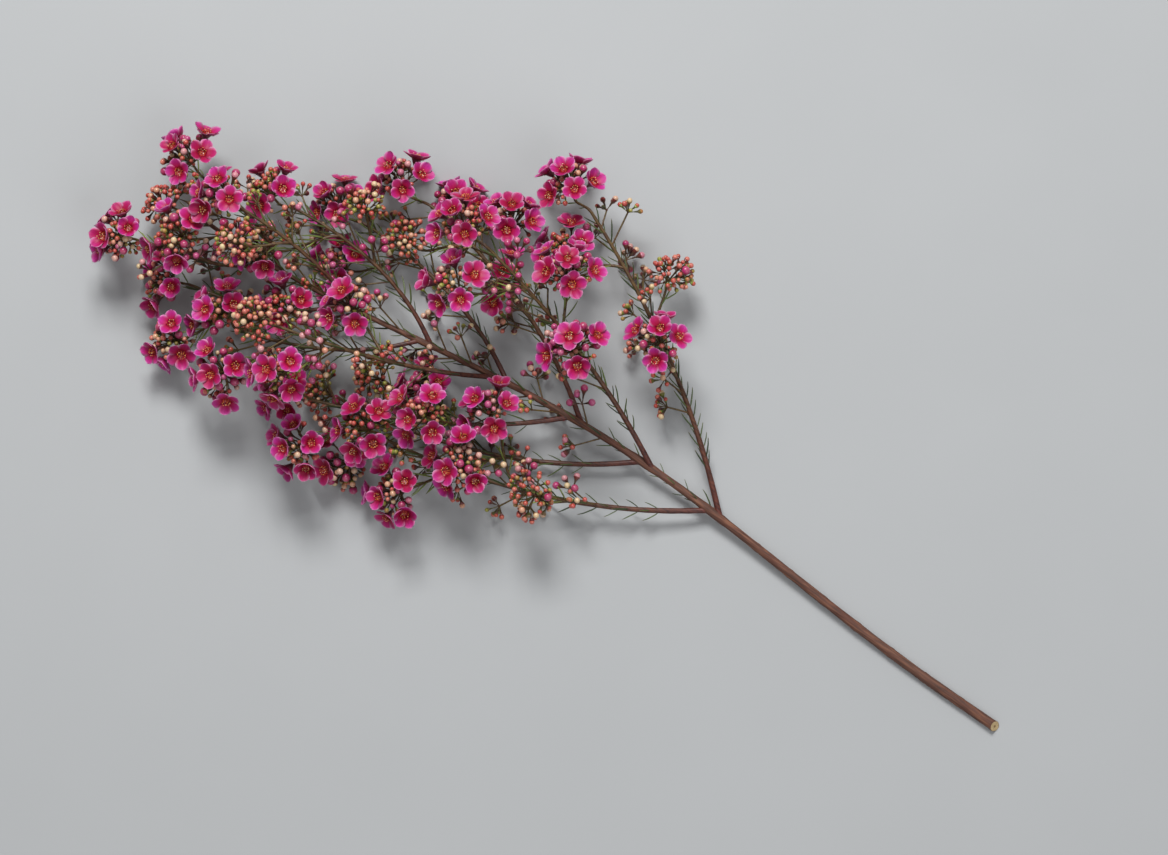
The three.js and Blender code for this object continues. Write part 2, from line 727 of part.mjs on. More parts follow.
const plant = new THREE.Group();
const carried = (name) => [
  ...sites.filter((site) => site.carrier.name === name).map(twigTube),
  ...everyNth(leaves.get(name), MODELLED_LEAF_STRIDE).map(leafGeometry),
];
plant.add(nodeMesh(STEM, [...stemGeometries(), ...carried(STEM)], vec(0, 0, 0), BARK));
for (const branch of branches) {
  const pieces = [branchGeometry(branch), ...carried(branch.name)];
  plant.add(nodeMesh(branch.name, pieces, branch.path(0), LEAFY));
}
for (const site of sites) plant.add(nodeMesh(site.name, [headGeometry(site)], site.foot, BLOOM));

export default plant;
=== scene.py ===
# A cut stem of waxflower, laid on a pale surface: woody main stem, leafy side branches in near-opposite
# pairs, and at the end of every twig a head of five-petalled waxy flowers and round buds.
# Sizes are in millimetres, as in the plant's own growth rule, and meshes are made in metres.
import math
from functools import partial
from types import SimpleNamespace

import bpy
import numpy as np
from mathutils import Matrix


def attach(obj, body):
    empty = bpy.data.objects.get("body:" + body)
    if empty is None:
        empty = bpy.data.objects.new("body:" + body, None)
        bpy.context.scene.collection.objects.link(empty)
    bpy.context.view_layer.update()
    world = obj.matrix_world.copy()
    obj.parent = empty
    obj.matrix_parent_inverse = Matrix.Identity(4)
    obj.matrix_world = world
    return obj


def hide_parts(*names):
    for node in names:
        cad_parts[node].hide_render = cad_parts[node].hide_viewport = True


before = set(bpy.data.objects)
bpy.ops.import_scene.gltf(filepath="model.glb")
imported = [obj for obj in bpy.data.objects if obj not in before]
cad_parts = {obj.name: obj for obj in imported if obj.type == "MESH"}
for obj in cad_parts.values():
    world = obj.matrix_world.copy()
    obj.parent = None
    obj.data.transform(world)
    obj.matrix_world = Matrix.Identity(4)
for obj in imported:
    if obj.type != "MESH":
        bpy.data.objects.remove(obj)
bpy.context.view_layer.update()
MM = 0.001

# ---- Main stem ----
# The woody shoot of one season, brown and finely furrowed, with a collar where each side branch
# leaves it and the scars of the needles stripped from its lower third. It is cut on a slant with
# secateurs, which shows the pale wood and the pith, and rests on a small flat near the cut.

STEM_LENGTH = 540
STEM_RADIUS = 3.1
STEM_TIP_RADIUS = 1.1
STEM_TAPER = 0.9
STEM_CORNERS = 6  # of the faceted stem that this one lies in
HEEL_LENGTH = 36
STEM_SWAY = 26
STEM_SWAY_RATE = 5.5
STEM_RISE = 27
STEM_RISE_POWER = 1.4
NUDGE = 0.002  # the share of a path over which its direction is measured

UP = np.array((0.0, 0.0, 1.0))


def unit(vector):
    return vector / math.sqrt(vector @ vector)


def mix(a, b, share):
    return a + (b - a) * share


def across(axis):
    """Two directions across an axis."""
    helper = UP if abs(axis[2]) < 0.95 else np.array((1.0, 0.0, 0.0))
    first = unit(np.cross(helper, axis))
    return first, np.cross(axis, first)


def direction_on(path, share):
    start = min(share, 1 - NUDGE)
    return unit(path(start + NUDGE) - path(start))


def stem_point(share):
    t = max(0.0, share - HEEL_LENGTH / STEM_LENGTH)
    aside = STEM_SWAY * t * math.sin(STEM_SWAY_RATE * t)
    level = STEM_RADIUS * math.cos(math.pi / STEM_CORNERS)
    height = level + STEM_RISE * t**STEM_RISE_POWER
    return np.array((aside, share * STEM_LENGTH - HEEL_LENGTH / 2, height))


def stem_radius(share):
    t = max(0.0, share - HEEL_LENGTH / STEM_LENGTH)
    return mix(STEM_RADIUS, STEM_TIP_RADIUS, t**STEM_TAPER)


class Ledger:
    """What space is taken, as small balls, each with its node and its kind of organ."""

    REACH = 12  # two balls further apart than this along the stem can't touch
    ROOM = 40000  # balls

    def __init__(self):
        self.count = 0
        self.points = np.zeros((self.ROOM, 3))
        self.radii = np.zeros(self.ROOM)
        self.nodes = np.zeros(self.ROOM, int)
        self.kinds = np.zeros(self.ROOM, int)

    def take(self, points, radii, node, kind):
        new = slice(self.count, self.count + len(points))
        self.points[new] = points
        self.radii[new] = radii
        self.nodes[new] = node
        self.kinds[new] = kind
        self.count = new.stop

    def is_clear(self, points, radii, gap, ignored):
        """Whether balls are clear of all that is taken, apart from the rows that ignored() picks."""
        points = np.asarray(points)
        low, high = points[:, 1].min() - self.REACH, points[:, 1].max() + self.REACH
        along_stem = self.points[: self.count, 1]
        rows = np.flatnonzero((along_stem > low) & (along_stem < high))
        rows = rows[~ignored(rows)]
        gaps = np.linalg.norm(points[:, None] - self.points[rows], axis=2)
        needed = np.reshape(radii, (-1, 1)) + self.radii[rows] + gap
        return bool((gaps >= needed).all())


STEM_NODE = 0
STEM_BALLS = 256
TWIG, STALK, FLOWER, BUD, LEAF = range(5)
ledger = Ledger()
for i in range(STEM_BALLS + 1):
    ledger.take([stem_point(i / STEM_BALLS)], stem_radius(i / STEM_BALLS), STEM_NODE, TWIG)

PAIRS = 7
FIRST_PAIR = 0.36
PAIR_STEP = 0.088
PAIR_OFFSET = 0.014
COLLAR_SWELLING = 0.16
COLLAR_PLACE = 2.5
COLLAR_WIDTH = 5
SCAR_STEP = 12
SCAR_HEIGHT = 0.3
SCAR_LENGTH = 1.3
SCAR_NARROWNESS = 8
BARE_SHARE = 0.36
SCARS_FADE = 0.1
BARK_WAVES = ((0.02, 3, 0.05), (0.025, 2, 0.21))  # height, count round the stem, rate along it


def branch_share(pair, side):
    return FIRST_PAIR + PAIR_STEP * pair + PAIR_OFFSET * side


def bump(off, width):
    return math.exp(-((off / width) ** 2))


def stem_swelling(length, turn):
    """How far the bark stands out at a distance from the cut end and an angle round the stem."""
    share = length / STEM_LENGTH
    swell = sum(high * math.sin(count * turn + rate * length) for high, count, rate in BARK_WAVES)
    for pair in range(PAIRS):
        for side in range(2):
            off = length - branch_share(pair, side) * STEM_LENGTH - COLLAR_PLACE
            swell += COLLAR_SWELLING * bump(off, COLLAR_WIDTH)
    number = round(length / SCAR_STEP)
    facing = math.cos(turn + number * math.pi / 2) ** SCAR_NARROWNESS
    fade = min(1.0, max(0.0, (BARE_SHARE + SCARS_FADE - share) / SCARS_FADE))
    scar = facing * bump(length - number * SCAR_STEP, SCAR_LENGTH)
    return swell + SCAR_HEIGHT / STEM_RADIUS * fade * scar


STEM_SIDES = 20
STEM_RING_STEP = 1.8
ROUND_STEM = 0.94
CUT_SLANT = 0.8
CUT_RUN = 9
CUT_RINGS = (0.2, 0.28, 0.9)
PITH_SHARE = 0.25
TIP_RINGS = (0.75, 0.3)


def turns(count):
    """Angles spread evenly round a circle."""
    return [2 * math.pi * k / count for k in range(count)]


def hoop(low, high, sides):
    """The quads between two rings of points, from the numbers of their first points."""
    return [(low + k, low + (k + 1) % sides, high + (k + 1) % sides, high + k) for k in range(sides)]


def tube(rings, sides):
    """The quads between the rings of a tube, then the faces that close its two ends."""
    faces = []
    for i in range(rings - 1):
        faces += hoop(i * sides, (i + 1) * sides, sides)
    return faces + [tuple(reversed(range(sides))), tuple(range((rings - 1) * sides, rings * sides))]


def stem_mesh():
    """Rings from the pith of the cut out to the bark, along it, and in again at the tip."""
    steps = round(STEM_LENGTH / STEM_RING_STEP)
    rings = [(0, inwards, 1) for inwards in CUT_RINGS]
    rings += [(STEM_LENGTH * i / steps, 1, 0) for i in range(steps + 1)]
    rings += [(STEM_LENGTH, inwards, 0) for inwards in TIP_RINGS]
    points, cut, pith = [], [], []
    for length, inwards, is_cut in rings:
        share = length / STEM_LENGTH
        middle = stem_point(share)
        forward = direction_on(stem_point, share)
        first, second = across(forward)
        slant = CUT_SLANT * max(0.0, 1 - length / CUT_RUN)
        for turn in turns(STEM_SIDES):
            radius = ROUND_STEM * stem_radius(share) * (1 + stem_swelling(length, turn)) * inwards
            p = middle + first * radius * math.cos(turn) + second * radius * math.sin(turn)
            p = p + forward * slant * (p[2] - middle[2])
            points.append((p[0], p[1], max(p[2], 0.0)))
            cut.append(is_cut)
            pith.append(is_cut and inwards < PITH_SHARE)
    return points, tube(len(rings), STEM_SIDES), cut, pith


def linear(colour):
    """A linear colour from an sRGB hex value."""
    channels = [int(colour[i : i + 2], 16) / 255 for i in (1, 3, 5)]
    return [c / 12.92 if c <= 0.04045 else ((c + 0.055) / 1.055) ** 2.4 for c in channels] + [1]


def node(tree, kind, inputs=None, out=0, stops=(), **settings):
    """Adds a node to a tree and gives one of its outputs. An input is another node's output, a value
    or an sRGB hex colour. Stops are a ramp's colours at places from 0 to 1."""
    made = tree.nodes.new(kind)
    for name, value in settings.items():
        setattr(made, name, value)
    for name, value in (inputs or {}).items():
        if isinstance(value, bpy.types.NodeSocket):
            tree.links.new(value, made.inputs[name])
        else:
            is_colour = isinstance(value, str) and value.startswith("#")
            made.inputs[name].default_value = linear(value) if is_colour else value
    if stops:
        elements = made.color_ramp.elements
        elements[0].position, elements[1].position = stops[0][0], stops[-1][0]
        for place, _ in stops[1:-1]:
            elements.new(place)
        for element, (_, colour) in zip(elements, stops):
            element.color = linear(colour)
    return made.outputs[out] if made.outputs else None


COLOUR_MIX = {"data_type": "RGBA", "out": 2}


def blotches(place, size, detail=2.0):
    """The inputs of a noise whose blotches measure about so many millimetres."""
    return {"Vector": place, "Scale": 1 / (size * MM), "Detail": detail}


def material(name, look, relief, reads=(), **surface):
    """A Principled material. Its look makes a colour and a height from the place on the piece and from
    the values that it reads at the points. The height stands out by so many millimetres of relief."""
    made = bpy.data.materials.new(name)
    made.use_nodes = True
    made.node_tree.nodes.clear()
    add = partial(node, made.node_tree)
    place = add("ShaderNodeTexCoord", out="Object")
    values = [add("ShaderNodeAttribute", out="Fac", attribute_name=key) for key in reads]
    base, height = look(add, place, *values)
    inputs = {key.replace("_", " "): value for key, value in surface.items()}
    inputs["Base Color"] = base
    if relief:
        raised = {"Height": height, "Distance": relief * MM, "Strength": 1.0}
        inputs["Normal"] = add("ShaderNodeBump", raised)
    shader = add("ShaderNodeBsdfPrincipled", inputs)
    add("ShaderNodeOutputMaterial", {"Surface": shader})
    return made


def bark_look(add, place, cut, pith):
    """Young shrub wood: thin brown bark in fine lengthwise furrows, dull, with greyish weathered
    streaks. The cut shows cream wood round a darker pith."""
    grain = add("ShaderNodeMapping", {"Vector": place, "Scale": (1, 1 / 14, 1)})
    furrows = add("ShaderNodeTexNoise", blotches(grain, 0.9, 4.0))
    brown = add(
        "ShaderNodeValToRGB", {"Fac": furrows},
        stops=((0.3, "#2E1712"), (0.5, "#5E3224"), (0.72, "#8A5A40")),
    )
    drawn_out = add("ShaderNodeMapping", {"Vector": place, "Scale": (1, 1 / 3, 1)})
    patches = add("ShaderNodeTexNoise", blotches(drawn_out, 14, 3.0))
    wear = add("ShaderNodeMath", {0: patches, 1: 0.5}, operation="MULTIPLY")
    worn = add("ShaderNodeMix", {"Factor": wear, 6: brown, 7: "#6E5546"}, **COLOUR_MIX)
    fibres = add("ShaderNodeTexNoise", blotches(place, 0.5))
    wood = add("ShaderNodeValToRGB", {"Fac": fibres}, stops=((0.35, "#B99A68"), (0.65, "#DCC596")))
    cored = add("ShaderNodeMix", {"Factor": pith, 6: wood, 7: "#8A683C"}, **COLOUR_MIX)
    return add("ShaderNodeMix", {"Factor": cut, 6: worn, 7: cored}, **COLOUR_MIX), furrows


def mesh_object(name, points, faces, unit_size=MM, edges=(), **values):
    """An object from points, edges and faces, smooth, with values at its points."""
    mesh = bpy.data.meshes.new(name)
    mesh.from_pydata((np.asarray(points) * unit_size).tolist(), edges, faces)
    mesh.shade_smooth()
    for key, row in values.items():
        row = np.asarray(row, np.float32)
        kind, field = ("FLOAT_VECTOR", "vector") if row.ndim == 2 else ("FLOAT", "value")
        made = mesh.attributes.new(key, kind, "POINT")
        made.data.foreach_set(field, row.ravel())
    return bpy.data.objects.new(name, mesh)


def show(piece):
    """Puts a finished piece in the scene, on the plant's one body."""
    bpy.context.scene.collection.objects.link(piece)
    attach(piece, "root")


points, faces, cut, pith = stem_mesh()
main_stem = mesh_object("main_stem_bark", points, faces, cut=cut, pith=pith)
bark = material("bark_of_young_wood", bark_look, 0.25, ("cut", "pith"), Roughness=0.68)
main_stem.data.materials.append(bark)
show(main_stem)
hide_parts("main_stem")

# ---- Side branches ----
# Slender leafy shoots that leave the stem in near-opposite pairs, each pair across the last. Pressed
# aside by the surface that the stem lies on. Red-brown at the base, greener towards the tip.

BRANCH_LENGTH = 185
BRANCH_RADIUS = 1.75
BRANCH_TIP_RADIUS = 0.95
BRANCH_AZIMUTHS = ((12, 168), (62, 202), (8, 172), (-22, 118))
BRANCH_LEAVES_AT = 40
BRANCH_SPREAD = 27
BRANCH_ELBOW = 0.5
SPREAD_LOST = 7  # degrees, from the lowest pair to the stem's tip
LENGTH_LOST = 0.9
LENGTH_LOST_POWER = 0.8
LEAST_GIRTH = 0.55
GIRTH_GAINED = 0.45  # by a branch of full length
FLATTENED = 0.62
COLLAR = 7.2
LOWEST_BRANCH = 7

SEED = 20
STREAM_STEP = 7919
MULTIPLIER, INCREMENT, MODULUS = 1664525, 1013904223, 2**32
WARM_UP = 4  # draws left out, so that neighbouring streams differ


def stream(number):
    """A stream of random numbers that is the same on every machine."""
    state = SEED + STREAM_STEP * number

    def draw(low, high):
        nonlocal state
        state = (MULTIPLIER * state + INCREMENT) % MODULUS
        return low + (high - low) * (state / MODULUS)

    for _ in range(WARM_UP):
        draw(0, 1)
    return draw


def blend(*parts):
    return unit(sum(vector * share for vector, share in parts))


def curve(*points):
    """A smooth path from the first point to the last, as a function of the share of the way."""

    def path(share):
        row = list(points)
        while len(row) > 1:
            row = [mix(a, b, share) for a, b in zip(row, row[1:])]
        return row[0]

    return path


LENGTH_SAMPLES = 12
BALL_STEP = 2.5
ROUNDING = 1e-6  # keeps a length of a whole number of steps from taking one more


def sampled(path, count):
    return np.array([path(i / count) for i in range(count + 1)])


def length_of(path):
    return sum(np.linalg.norm(np.diff(sampled(path, LENGTH_SAMPLES), axis=0), axis=1))


def balls_along(path, step=BALL_STEP):
    return sampled(path, max(2, math.ceil(length_of(path) / step - ROUNDING)))


def grow_branch(pair, side):
    number = 2 * pair + side
    random = stream(number)
    share = branch_share(pair, side)
    height = (share - FIRST_PAIR) / (1 - FIRST_PAIR)
    length = BRANCH_LENGTH * (1 - LENGTH_LOST * height) ** LENGTH_LOST_POWER * random(0.95, 1.05)
    forward = direction_on(stem_point, share)
    right = unit(np.cross(forward, UP))
    turn = math.radians(BRANCH_AZIMUTHS[pair % 4][side] + random(-6, 6))
    outward = blend((right, math.cos(turn)), (UP, math.sin(turn) * FLATTENED))
    leaves_at = math.radians(BRANCH_LEAVES_AT)
    spread = math.radians(BRANCH_SPREAD - SPREAD_LOST * height + random(-3, 3))
    middle = stem_point(share)
    start = blend((forward, math.cos(leaves_at)), (outward, math.sin(leaves_at)))
    way = blend((forward, math.cos(spread)), (outward, math.sin(spread)))
    end = middle + way * length
    elbow = middle + start * BRANCH_ELBOW * length
    elbow[2] = max(elbow[2], LOWEST_BRANCH)
    end[2] = max(end[2], LOWEST_BRANCH)
    path = curve(middle + start * COLLAR, elbow, end)
    radius = BRANCH_RADIUS * (LEAST_GIRTH + GIRTH_GAINED * length / BRANCH_LENGTH)
    return SimpleNamespace(node=number + 1, length=length, path=path, middle=middle, radius=radius)


branches = [grow_branch(pair, side) for pair in range(PAIRS) for side in range(2)]
for branch in branches:
    ledger.take(balls_along(branch.path), branch.radius, branch.node, TWIG)


def growing_tree(name, inputs, grow):
    """A tree of nodes with named inputs. What it grows is made real and gets the material."""
    tree = bpy.data.node_groups.new(name, "GeometryNodeTree")
    for label, kind in {"Geometry": "Geometry", **inputs, "Material": "Material"}.items():
        tree.interface.new_socket(label, in_out="INPUT", socket_type="NodeSocket" + kind)
    tree.interface.new_socket("Geometry", in_out="OUTPUT", socket_type="NodeSocketGeometry")
    add = partial(node, tree)
    given = add("NodeGroupInput").node.outputs
    whole = add("GeometryNodeRealizeInstances", {"Geometry": grow(add, given)})
    dressed = add("GeometryNodeSetMaterial", {"Geometry": whole, "Material": given["Material"]})
    add("NodeGroupOutput", {"Geometry": dressed})
    return tree


def grow_stalks(add, given):
    """A solid stalk round every chain of edges, as thick as its points' thickness says. Knots are
    the slight swellings of its nodes."""
    paths = add("GeometryNodeMeshToCurve", {"Mesh": given["Geometry"]})
    circle = {"Resolution": given["Sides"], "Radius": 1.0}
    profile = add("GeometryNodeCurvePrimitiveCircle", circle)
    thickness = add("GeometryNodeInputNamedAttribute", {"Name": "thickness"})
    knots = add("FunctionNodeRandomValue", {"Seed": given["Seed"]}, 1)
    swelling = add("ShaderNodeMath", {0: knots, 1: given["Knot size"]}, operation="MULTIPLY")
    fuller = add("ShaderNodeMath", {0: swelling, 1: 1.0}, operation="ADD")
    scale = add("ShaderNodeMath", {0: thickness, 1: fuller}, operation="MULTIPLY")
    skin = {"Curve": paths, "Profile Curve": profile, "Scale": scale, "Fill Caps": True}
    return add("GeometryNodeSetShadeSmooth", {"Geometry": add("GeometryNodeCurveToMesh", skin)})


def grown(name, points, edges, tree, inputs, **values):
    """A plain mesh that a tree of nodes grows from points in millimetres, edges and their values."""
    seed = mesh_object(name, points, [], edges=edges, **values)
    bpy.context.scene.collection.objects.link(seed)
    modifier = seed.modifiers.new(name, "NODES")
    modifier.node_group = tree
    for socket in tree.interface.items_tree:
        if socket.in_out == "INPUT" and socket.name in inputs:
            modifier[socket.identifier] = inputs[socket.name]
    evaluated = seed.evaluated_get(bpy.context.evaluated_depsgraph_get())
    result = bpy.data.meshes.new_from_object(evaluated)
    bpy.data.objects.remove(seed)
    result.name = name
    places = np.empty(3 * len(result.vertices), np.float32)
    result.vertices.foreach_get("co", places)
    places[2::3] = np.maximum(places[2::3], 0)  # what meets the surface is pressed flat on it
    result.vertices.foreach_set("co", places)
    return bpy.data.objects.new(name, result)


class Paths:
    """Chains of points for stalks, with a thickness in millimetres and a youth from 0 to 1 at each."""

    def __init__(self):
        self.points, self.edges, self.thickness, self.youth = [], [], [], []

    def add(self, points, thickness, youth):
        first = len(self.points)
        self.points += [tuple(p) for p in points]
        self.edges += [(first + i, first + i + 1) for i in range(len(points) - 1)]
        self.thickness += list(np.broadcast_to(thickness, len(points)))
        self.youth += list(np.broadcast_to(youth, len(points)))

    def piece(self, name, sides, knot_size, seed):
        inputs = {"Sides": sides, "Knot size": knot_size, "Seed": seed, "Material": twig_skin}
        values = {"thickness": np.array(self.thickness) * MM, "youth": self.youth}
        return grown(name, self.points, self.edges, stalks, inputs, **values)


def twig_look(add, place, youth):
    """Soft green wood under a thin red-brown skin, smooth and faintly waxy. The youngest twigs are
    green with a red flush."""
    grain = add("ShaderNodeMapping", {"Vector": place, "Scale": (1, 1 / 5, 1)})
    streaks = add("ShaderNodeTexNoise", blotches(grain, 1.2, 3.0))
    old = add("ShaderNodeValToRGB", {"Fac": streaks}, stops=((0.3, "#341614"), (0.7, "#6C362A")))
    young = add("ShaderNodeValToRGB", {"Fac": streaks}, stops=((0.3, "#4E301E"), (0.7, "#6C6A2E")))
    return add("ShaderNodeMix", {"Factor": youth, 6: old, 7: young}, **COLOUR_MIX), streaks


stalk_inputs = {"Sides": "Int", "Knot size": "Float", "Seed": "Int"}
stalks = growing_tree("stalks along paths", stalk_inputs, grow_stalks)
twig_skin = material("skin_of_green_wood", twig_look, 0.12, ("youth",), Roughness=0.5)

ROUND_TWIG = 0.9
COLLAR_FLARE = 1.15
TIP_YOUTH = 0.6
BRANCH_RING_STEP = 5
LEAST_RINGS = 6

branch_paths = Paths()
for branch in branches:
    rings = max(LEAST_RINGS, round(branch.length / BRANCH_RING_STEP))
    share = np.linspace(0, 1, rings + 1)
    thickness = ROUND_TWIG * mix(branch.radius, BRANCH_TIP_RADIUS, share)
    points = np.vstack([branch.middle, sampled(branch.path, rings)])
    flared = np.append(COLLAR_FLARE * thickness[0], thickness)
    branch_paths.add(points, flared, np.append(0, TIP_YOUTH * share))
side_branches = branch_paths.piece("side_branches", sides=10, knot_size=0.12, seed=3)
show(side_branches)
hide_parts(*[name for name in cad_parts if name.startswith("leafy_branch")])

# ---- Flower twigs ----
# Each branch ends in a few thin twigs that hold the flower heads up to the light. The heads have
# crowded each other and the twigs apart while they grew, so the twigs bend round one another.

TWIG_LENGTH = 27
END_TWIG_LENGTH = 8
TWIG_RADIUS = 0.8
TWIG_ANGLE = 42
END_TWIG_ANGLE = 4
TWIG_TURNS = (0, 15, 165, 80)
LENGTHS_FOR_HEADS = (0, 76, 97, 138)  # a branch has a further head past each of these
HEADS_SPREAD = 0.6  # of a branch, shared out among its heads
HEADS_STEP = 0.045
LEADER_HEADS = (1, 0.955)
HEAD_SIZE = {"open": 19, "young": 12.5}
HEAD_BEYOND = 0.6  # of its size, from the end of its twig to its middle
YOUNG_EVERY = 5
FIRST_YOUNG = 2

sites = []


def head_site(carrier, at, order, side):
    number = len(sites)
    random = stream(100 + number)
    kind = "young" if number % YOUNG_EVERY == FIRST_YOUNG else "open"
    size = HEAD_SIZE[kind]
    root = carrier.path(at)
    forward = direction_on(carrier.path, at)
    first, second = across(forward)
    turn = math.radians(TWIG_TURNS[order] + random(-15, 15)) * (1 if side else -1)
    aside = blend((first, math.cos(turn)), (second, abs(math.sin(turn))))
    angle = math.radians(END_TWIG_ANGLE if order == 0 else TWIG_ANGLE)
    reach = END_TWIG_LENGTH if order == 0 else TWIG_LENGTH * random(0.85, 1.15)
    way = blend((forward, math.cos(angle)), (aside, math.sin(angle)))
    home = root + way * (reach + HEAD_BEYOND * size)
    return SimpleNamespace(
        number=number, node=100 + number, kind=kind, size=size, carrier=carrier, root=root,
        way=way, home=home, centre=home,
    )


for index, branch in enumerate(branches):
    count = sum(branch.length > least for least in LENGTHS_FOR_HEADS)
    for order in range(count):
        at = 1 - order * (HEADS_SPREAD / count + HEADS_STEP)
        sites.append(head_site(branch, at, order, index % 2))
leader = SimpleNamespace(node=STEM_NODE, path=stem_point)
for order, at in enumerate(LEADER_HEADS):
    sites.append(head_site(leader, at, order, order))

PUSHES = 90
PUSH = 0.3  # the share of an overlap that one push clears
OVERLAP = 1  # by which two heads may interlock
CLOSE_TO_TWIG = 0.9
HOMING = 0.03
OWN_TWIG = 30  # the length of its own branch that a head isn't pushed off
LOWEST_HEAD = 0.5  # of its size


def push_apart(a, b):
    between = b.centre - a.centre
    gap = math.sqrt(between @ between)
    short = a.size + b.size - OVERLAP - gap
    if short > 0:
        b.centre = b.centre + between * (PUSH * short / gap)
        a.centre = a.centre - between * (PUSH * short / gap)


def push_off_twigs(site):
    gaps = np.linalg.norm(site.others - site.centre, axis=1)
    nearest = site.others[np.argmin(gaps)]
    short = CLOSE_TO_TWIG * site.size + TWIG_RADIUS - gaps.min()
    if short > 0:
        site.centre = site.centre + (site.centre - nearest) * (PUSH * short / gaps.min())
    site.centre = mix(site.centre, site.home, HOMING)
    site.centre[2] = max(site.centre[2], LOWEST_HEAD * site.size)


twig_points = ledger.points[: ledger.count : 2]
twig_nodes = ledger.nodes[: ledger.count : 2]
for site in sites:
    far = np.linalg.norm(twig_points - site.root, axis=1) >= OWN_TWIG
    site.others = twig_points[(twig_nodes != site.carrier.node) | far]
for _ in range(PUSHES):
    for i, site in enumerate(sites):
        for other in sites[i + 1 :]:
            push_apart(site, other)
    for site in sites:
        push_off_twigs(site)

HEAD_STALK = 4
HUB_SET_BACK = 6
HEAD_FACING = (0.5, 0.35, 0.7)  # how much it faces on from its twig, away from the stem and up
FACING_BACK = 30  # a head faces away from a point of the stem that is so far behind it
LOWEST_FOOT = 3
TWIG_ELBOWS = (0.4, 0.35)
DETOURS = (0, 7, -7, 14, -14, 21)
DETOUR_ASIDE = 0.5
LOWEST_TWIG = 2
TWIG_GAP = 1
STALK_BALL_STEP = 2


def distance(a, b):
    return math.sqrt((a - b) @ (a - b))


def twig_via(site, detour):
    """A way for a head's twig that leaves its branch and meets the head squarely."""
    reach = distance(site.foot, site.root)
    leaving, meeting = TWIG_ELBOWS
    elbows = [site.root + site.way * leaving * reach, site.foot - site.axis * meeting * reach]
    aside, above = across(unit(site.foot - site.root))
    bent = [elbow + above * detour + aside * DETOUR_ASIDE * detour for elbow in elbows]
    for elbow in bent:
        elbow[2] = max(elbow[2], LOWEST_TWIG)
    return curve(site.root, *bent, site.foot)


def finish_head(site):
    nearest = stem_point(min(1.0, max(0.0, (site.centre[1] - FACING_BACK) / STEM_LENGTH)))
    outward = unit(site.centre - nearest)
    way = unit(site.centre - site.root)
    site.axis = blend(*zip((way, outward, UP), HEAD_FACING))
    site.foot = site.centre - site.axis * (HUB_SET_BACK + HEAD_STALK)
    site.foot[2] = max(site.foot[2], LOWEST_FOOT)
    site.hub = site.foot + site.axis * HEAD_STALK
    twigs = [twig_via(site, detour) for detour in DETOURS]

    def own(rows):
        return ledger.nodes[rows] == site.carrier.node

    fitting = [t for t in twigs if ledger.is_clear(balls_along(t), TWIG_RADIUS, TWIG_GAP, own)]
    site.twig = (fitting or twigs)[0]
    ledger.take(balls_along(site.twig), TWIG_RADIUS, site.carrier.node, TWIG)


for site in sites:
    finish_head(site)
for site in sites:
    stalk = curve(site.foot, site.hub)
    ledger.take(balls_along(stalk, STALK_BALL_STEP), TWIG_RADIUS, site.node, STALK)

TWIG_SUNK = 1.2
TWIG_RINGS = 12
TWIG_TAPER = (1.05, 0.82)
TWIG_YOUTH = (0.35, 0.75)

twig_paths = Paths()
for site in sites:
    sunk = site.root - site.way * TWIG_SUNK
    points = np.vstack([sunk, sampled(site.twig, TWIG_RINGS), site.hub])
    thickness = np.linspace(*TWIG_TAPER, len(points)) * TWIG_RADIUS
    twig_paths.add(points, thickness, np.linspace(*TWIG_YOUTH, len(points)))
show(twig_paths.piece("flower_twigs", sides=8, knot_size=0.15, seed=4))

# ---- Flowers: where each opens ----
# A head holds four or five open flowers round its rim and often one in its middle, each on a thin
# stalk from the head's knob, facing out and up. A flower opens only where there is room for it.

KNOB_RADIUS = 1.7
PETALS = 5
FLOWER_FACING = (0.85, 0.2, 0.3)  # how much it faces away from the knob, with its head and up
FUNNEL_LENGTH = 4.8
FUNNEL_BALL = 2.4
FUNNEL_BALL_AT = 0.8
MOUTH_RADIUS = 2.8
MOUTH_APOTHEM = MOUTH_RADIUS * math.cos(math.pi / PETALS)
PETAL_LENGTH = 6.2
PETAL_HALF_WIDTH = 3.3
PETAL_BALLS = ((0.3, 2.1), (0.68, 2.2))
PETAL_CORNERS = (
    (0.5 * PETAL_LENGTH, -PETAL_HALF_WIDTH), (PETAL_LENGTH, 0), (0.5 * PETAL_LENGTH, PETAL_HALF_WIDTH)
)
PETAL_ROOM = 0.96  # of its fifth of the flower that a petal may fill
STALK_RADIUS = 0.58
ORGAN_GAP = 0.35
CROWDED_AT_ROOT = 4
CROWDED_AT_FOOT = 3.2


def leaning(axis, lean, turn):
    """The direction that leans off the axis by one angle and round it by another."""
    first, second = across(axis)
    return blend(
        (axis, math.cos(lean)),
        (first, math.sin(lean) * math.cos(turn)),
        (second, math.sin(lean) * math.sin(turn)),
    )


def around(pair, turn):
    """The direction at an angle round an axis, from the two directions across it."""
    first, second = pair
    return first * math.cos(turn) + second * math.sin(turn)


def on_flower(flower, height, out, turn):
    return flower.base + flower.scale * (flower.axis * height + around(flower.across, turn) * out)


def on_petal(flower, petal, outwards, aside):
    turn = flower.spin + 2 * math.pi * petal / PETALS
    out = MOUTH_APOTHEM + outwards * math.cos(flower.lift)
    height = FUNNEL_LENGTH + outwards * math.sin(flower.lift)
    most = PETAL_ROOM * out * math.tan(math.pi / PETALS)
    off = min(most, max(-most, aside))
    return on_flower(flower, height, math.hypot(out, off), turn + math.atan2(off, out))


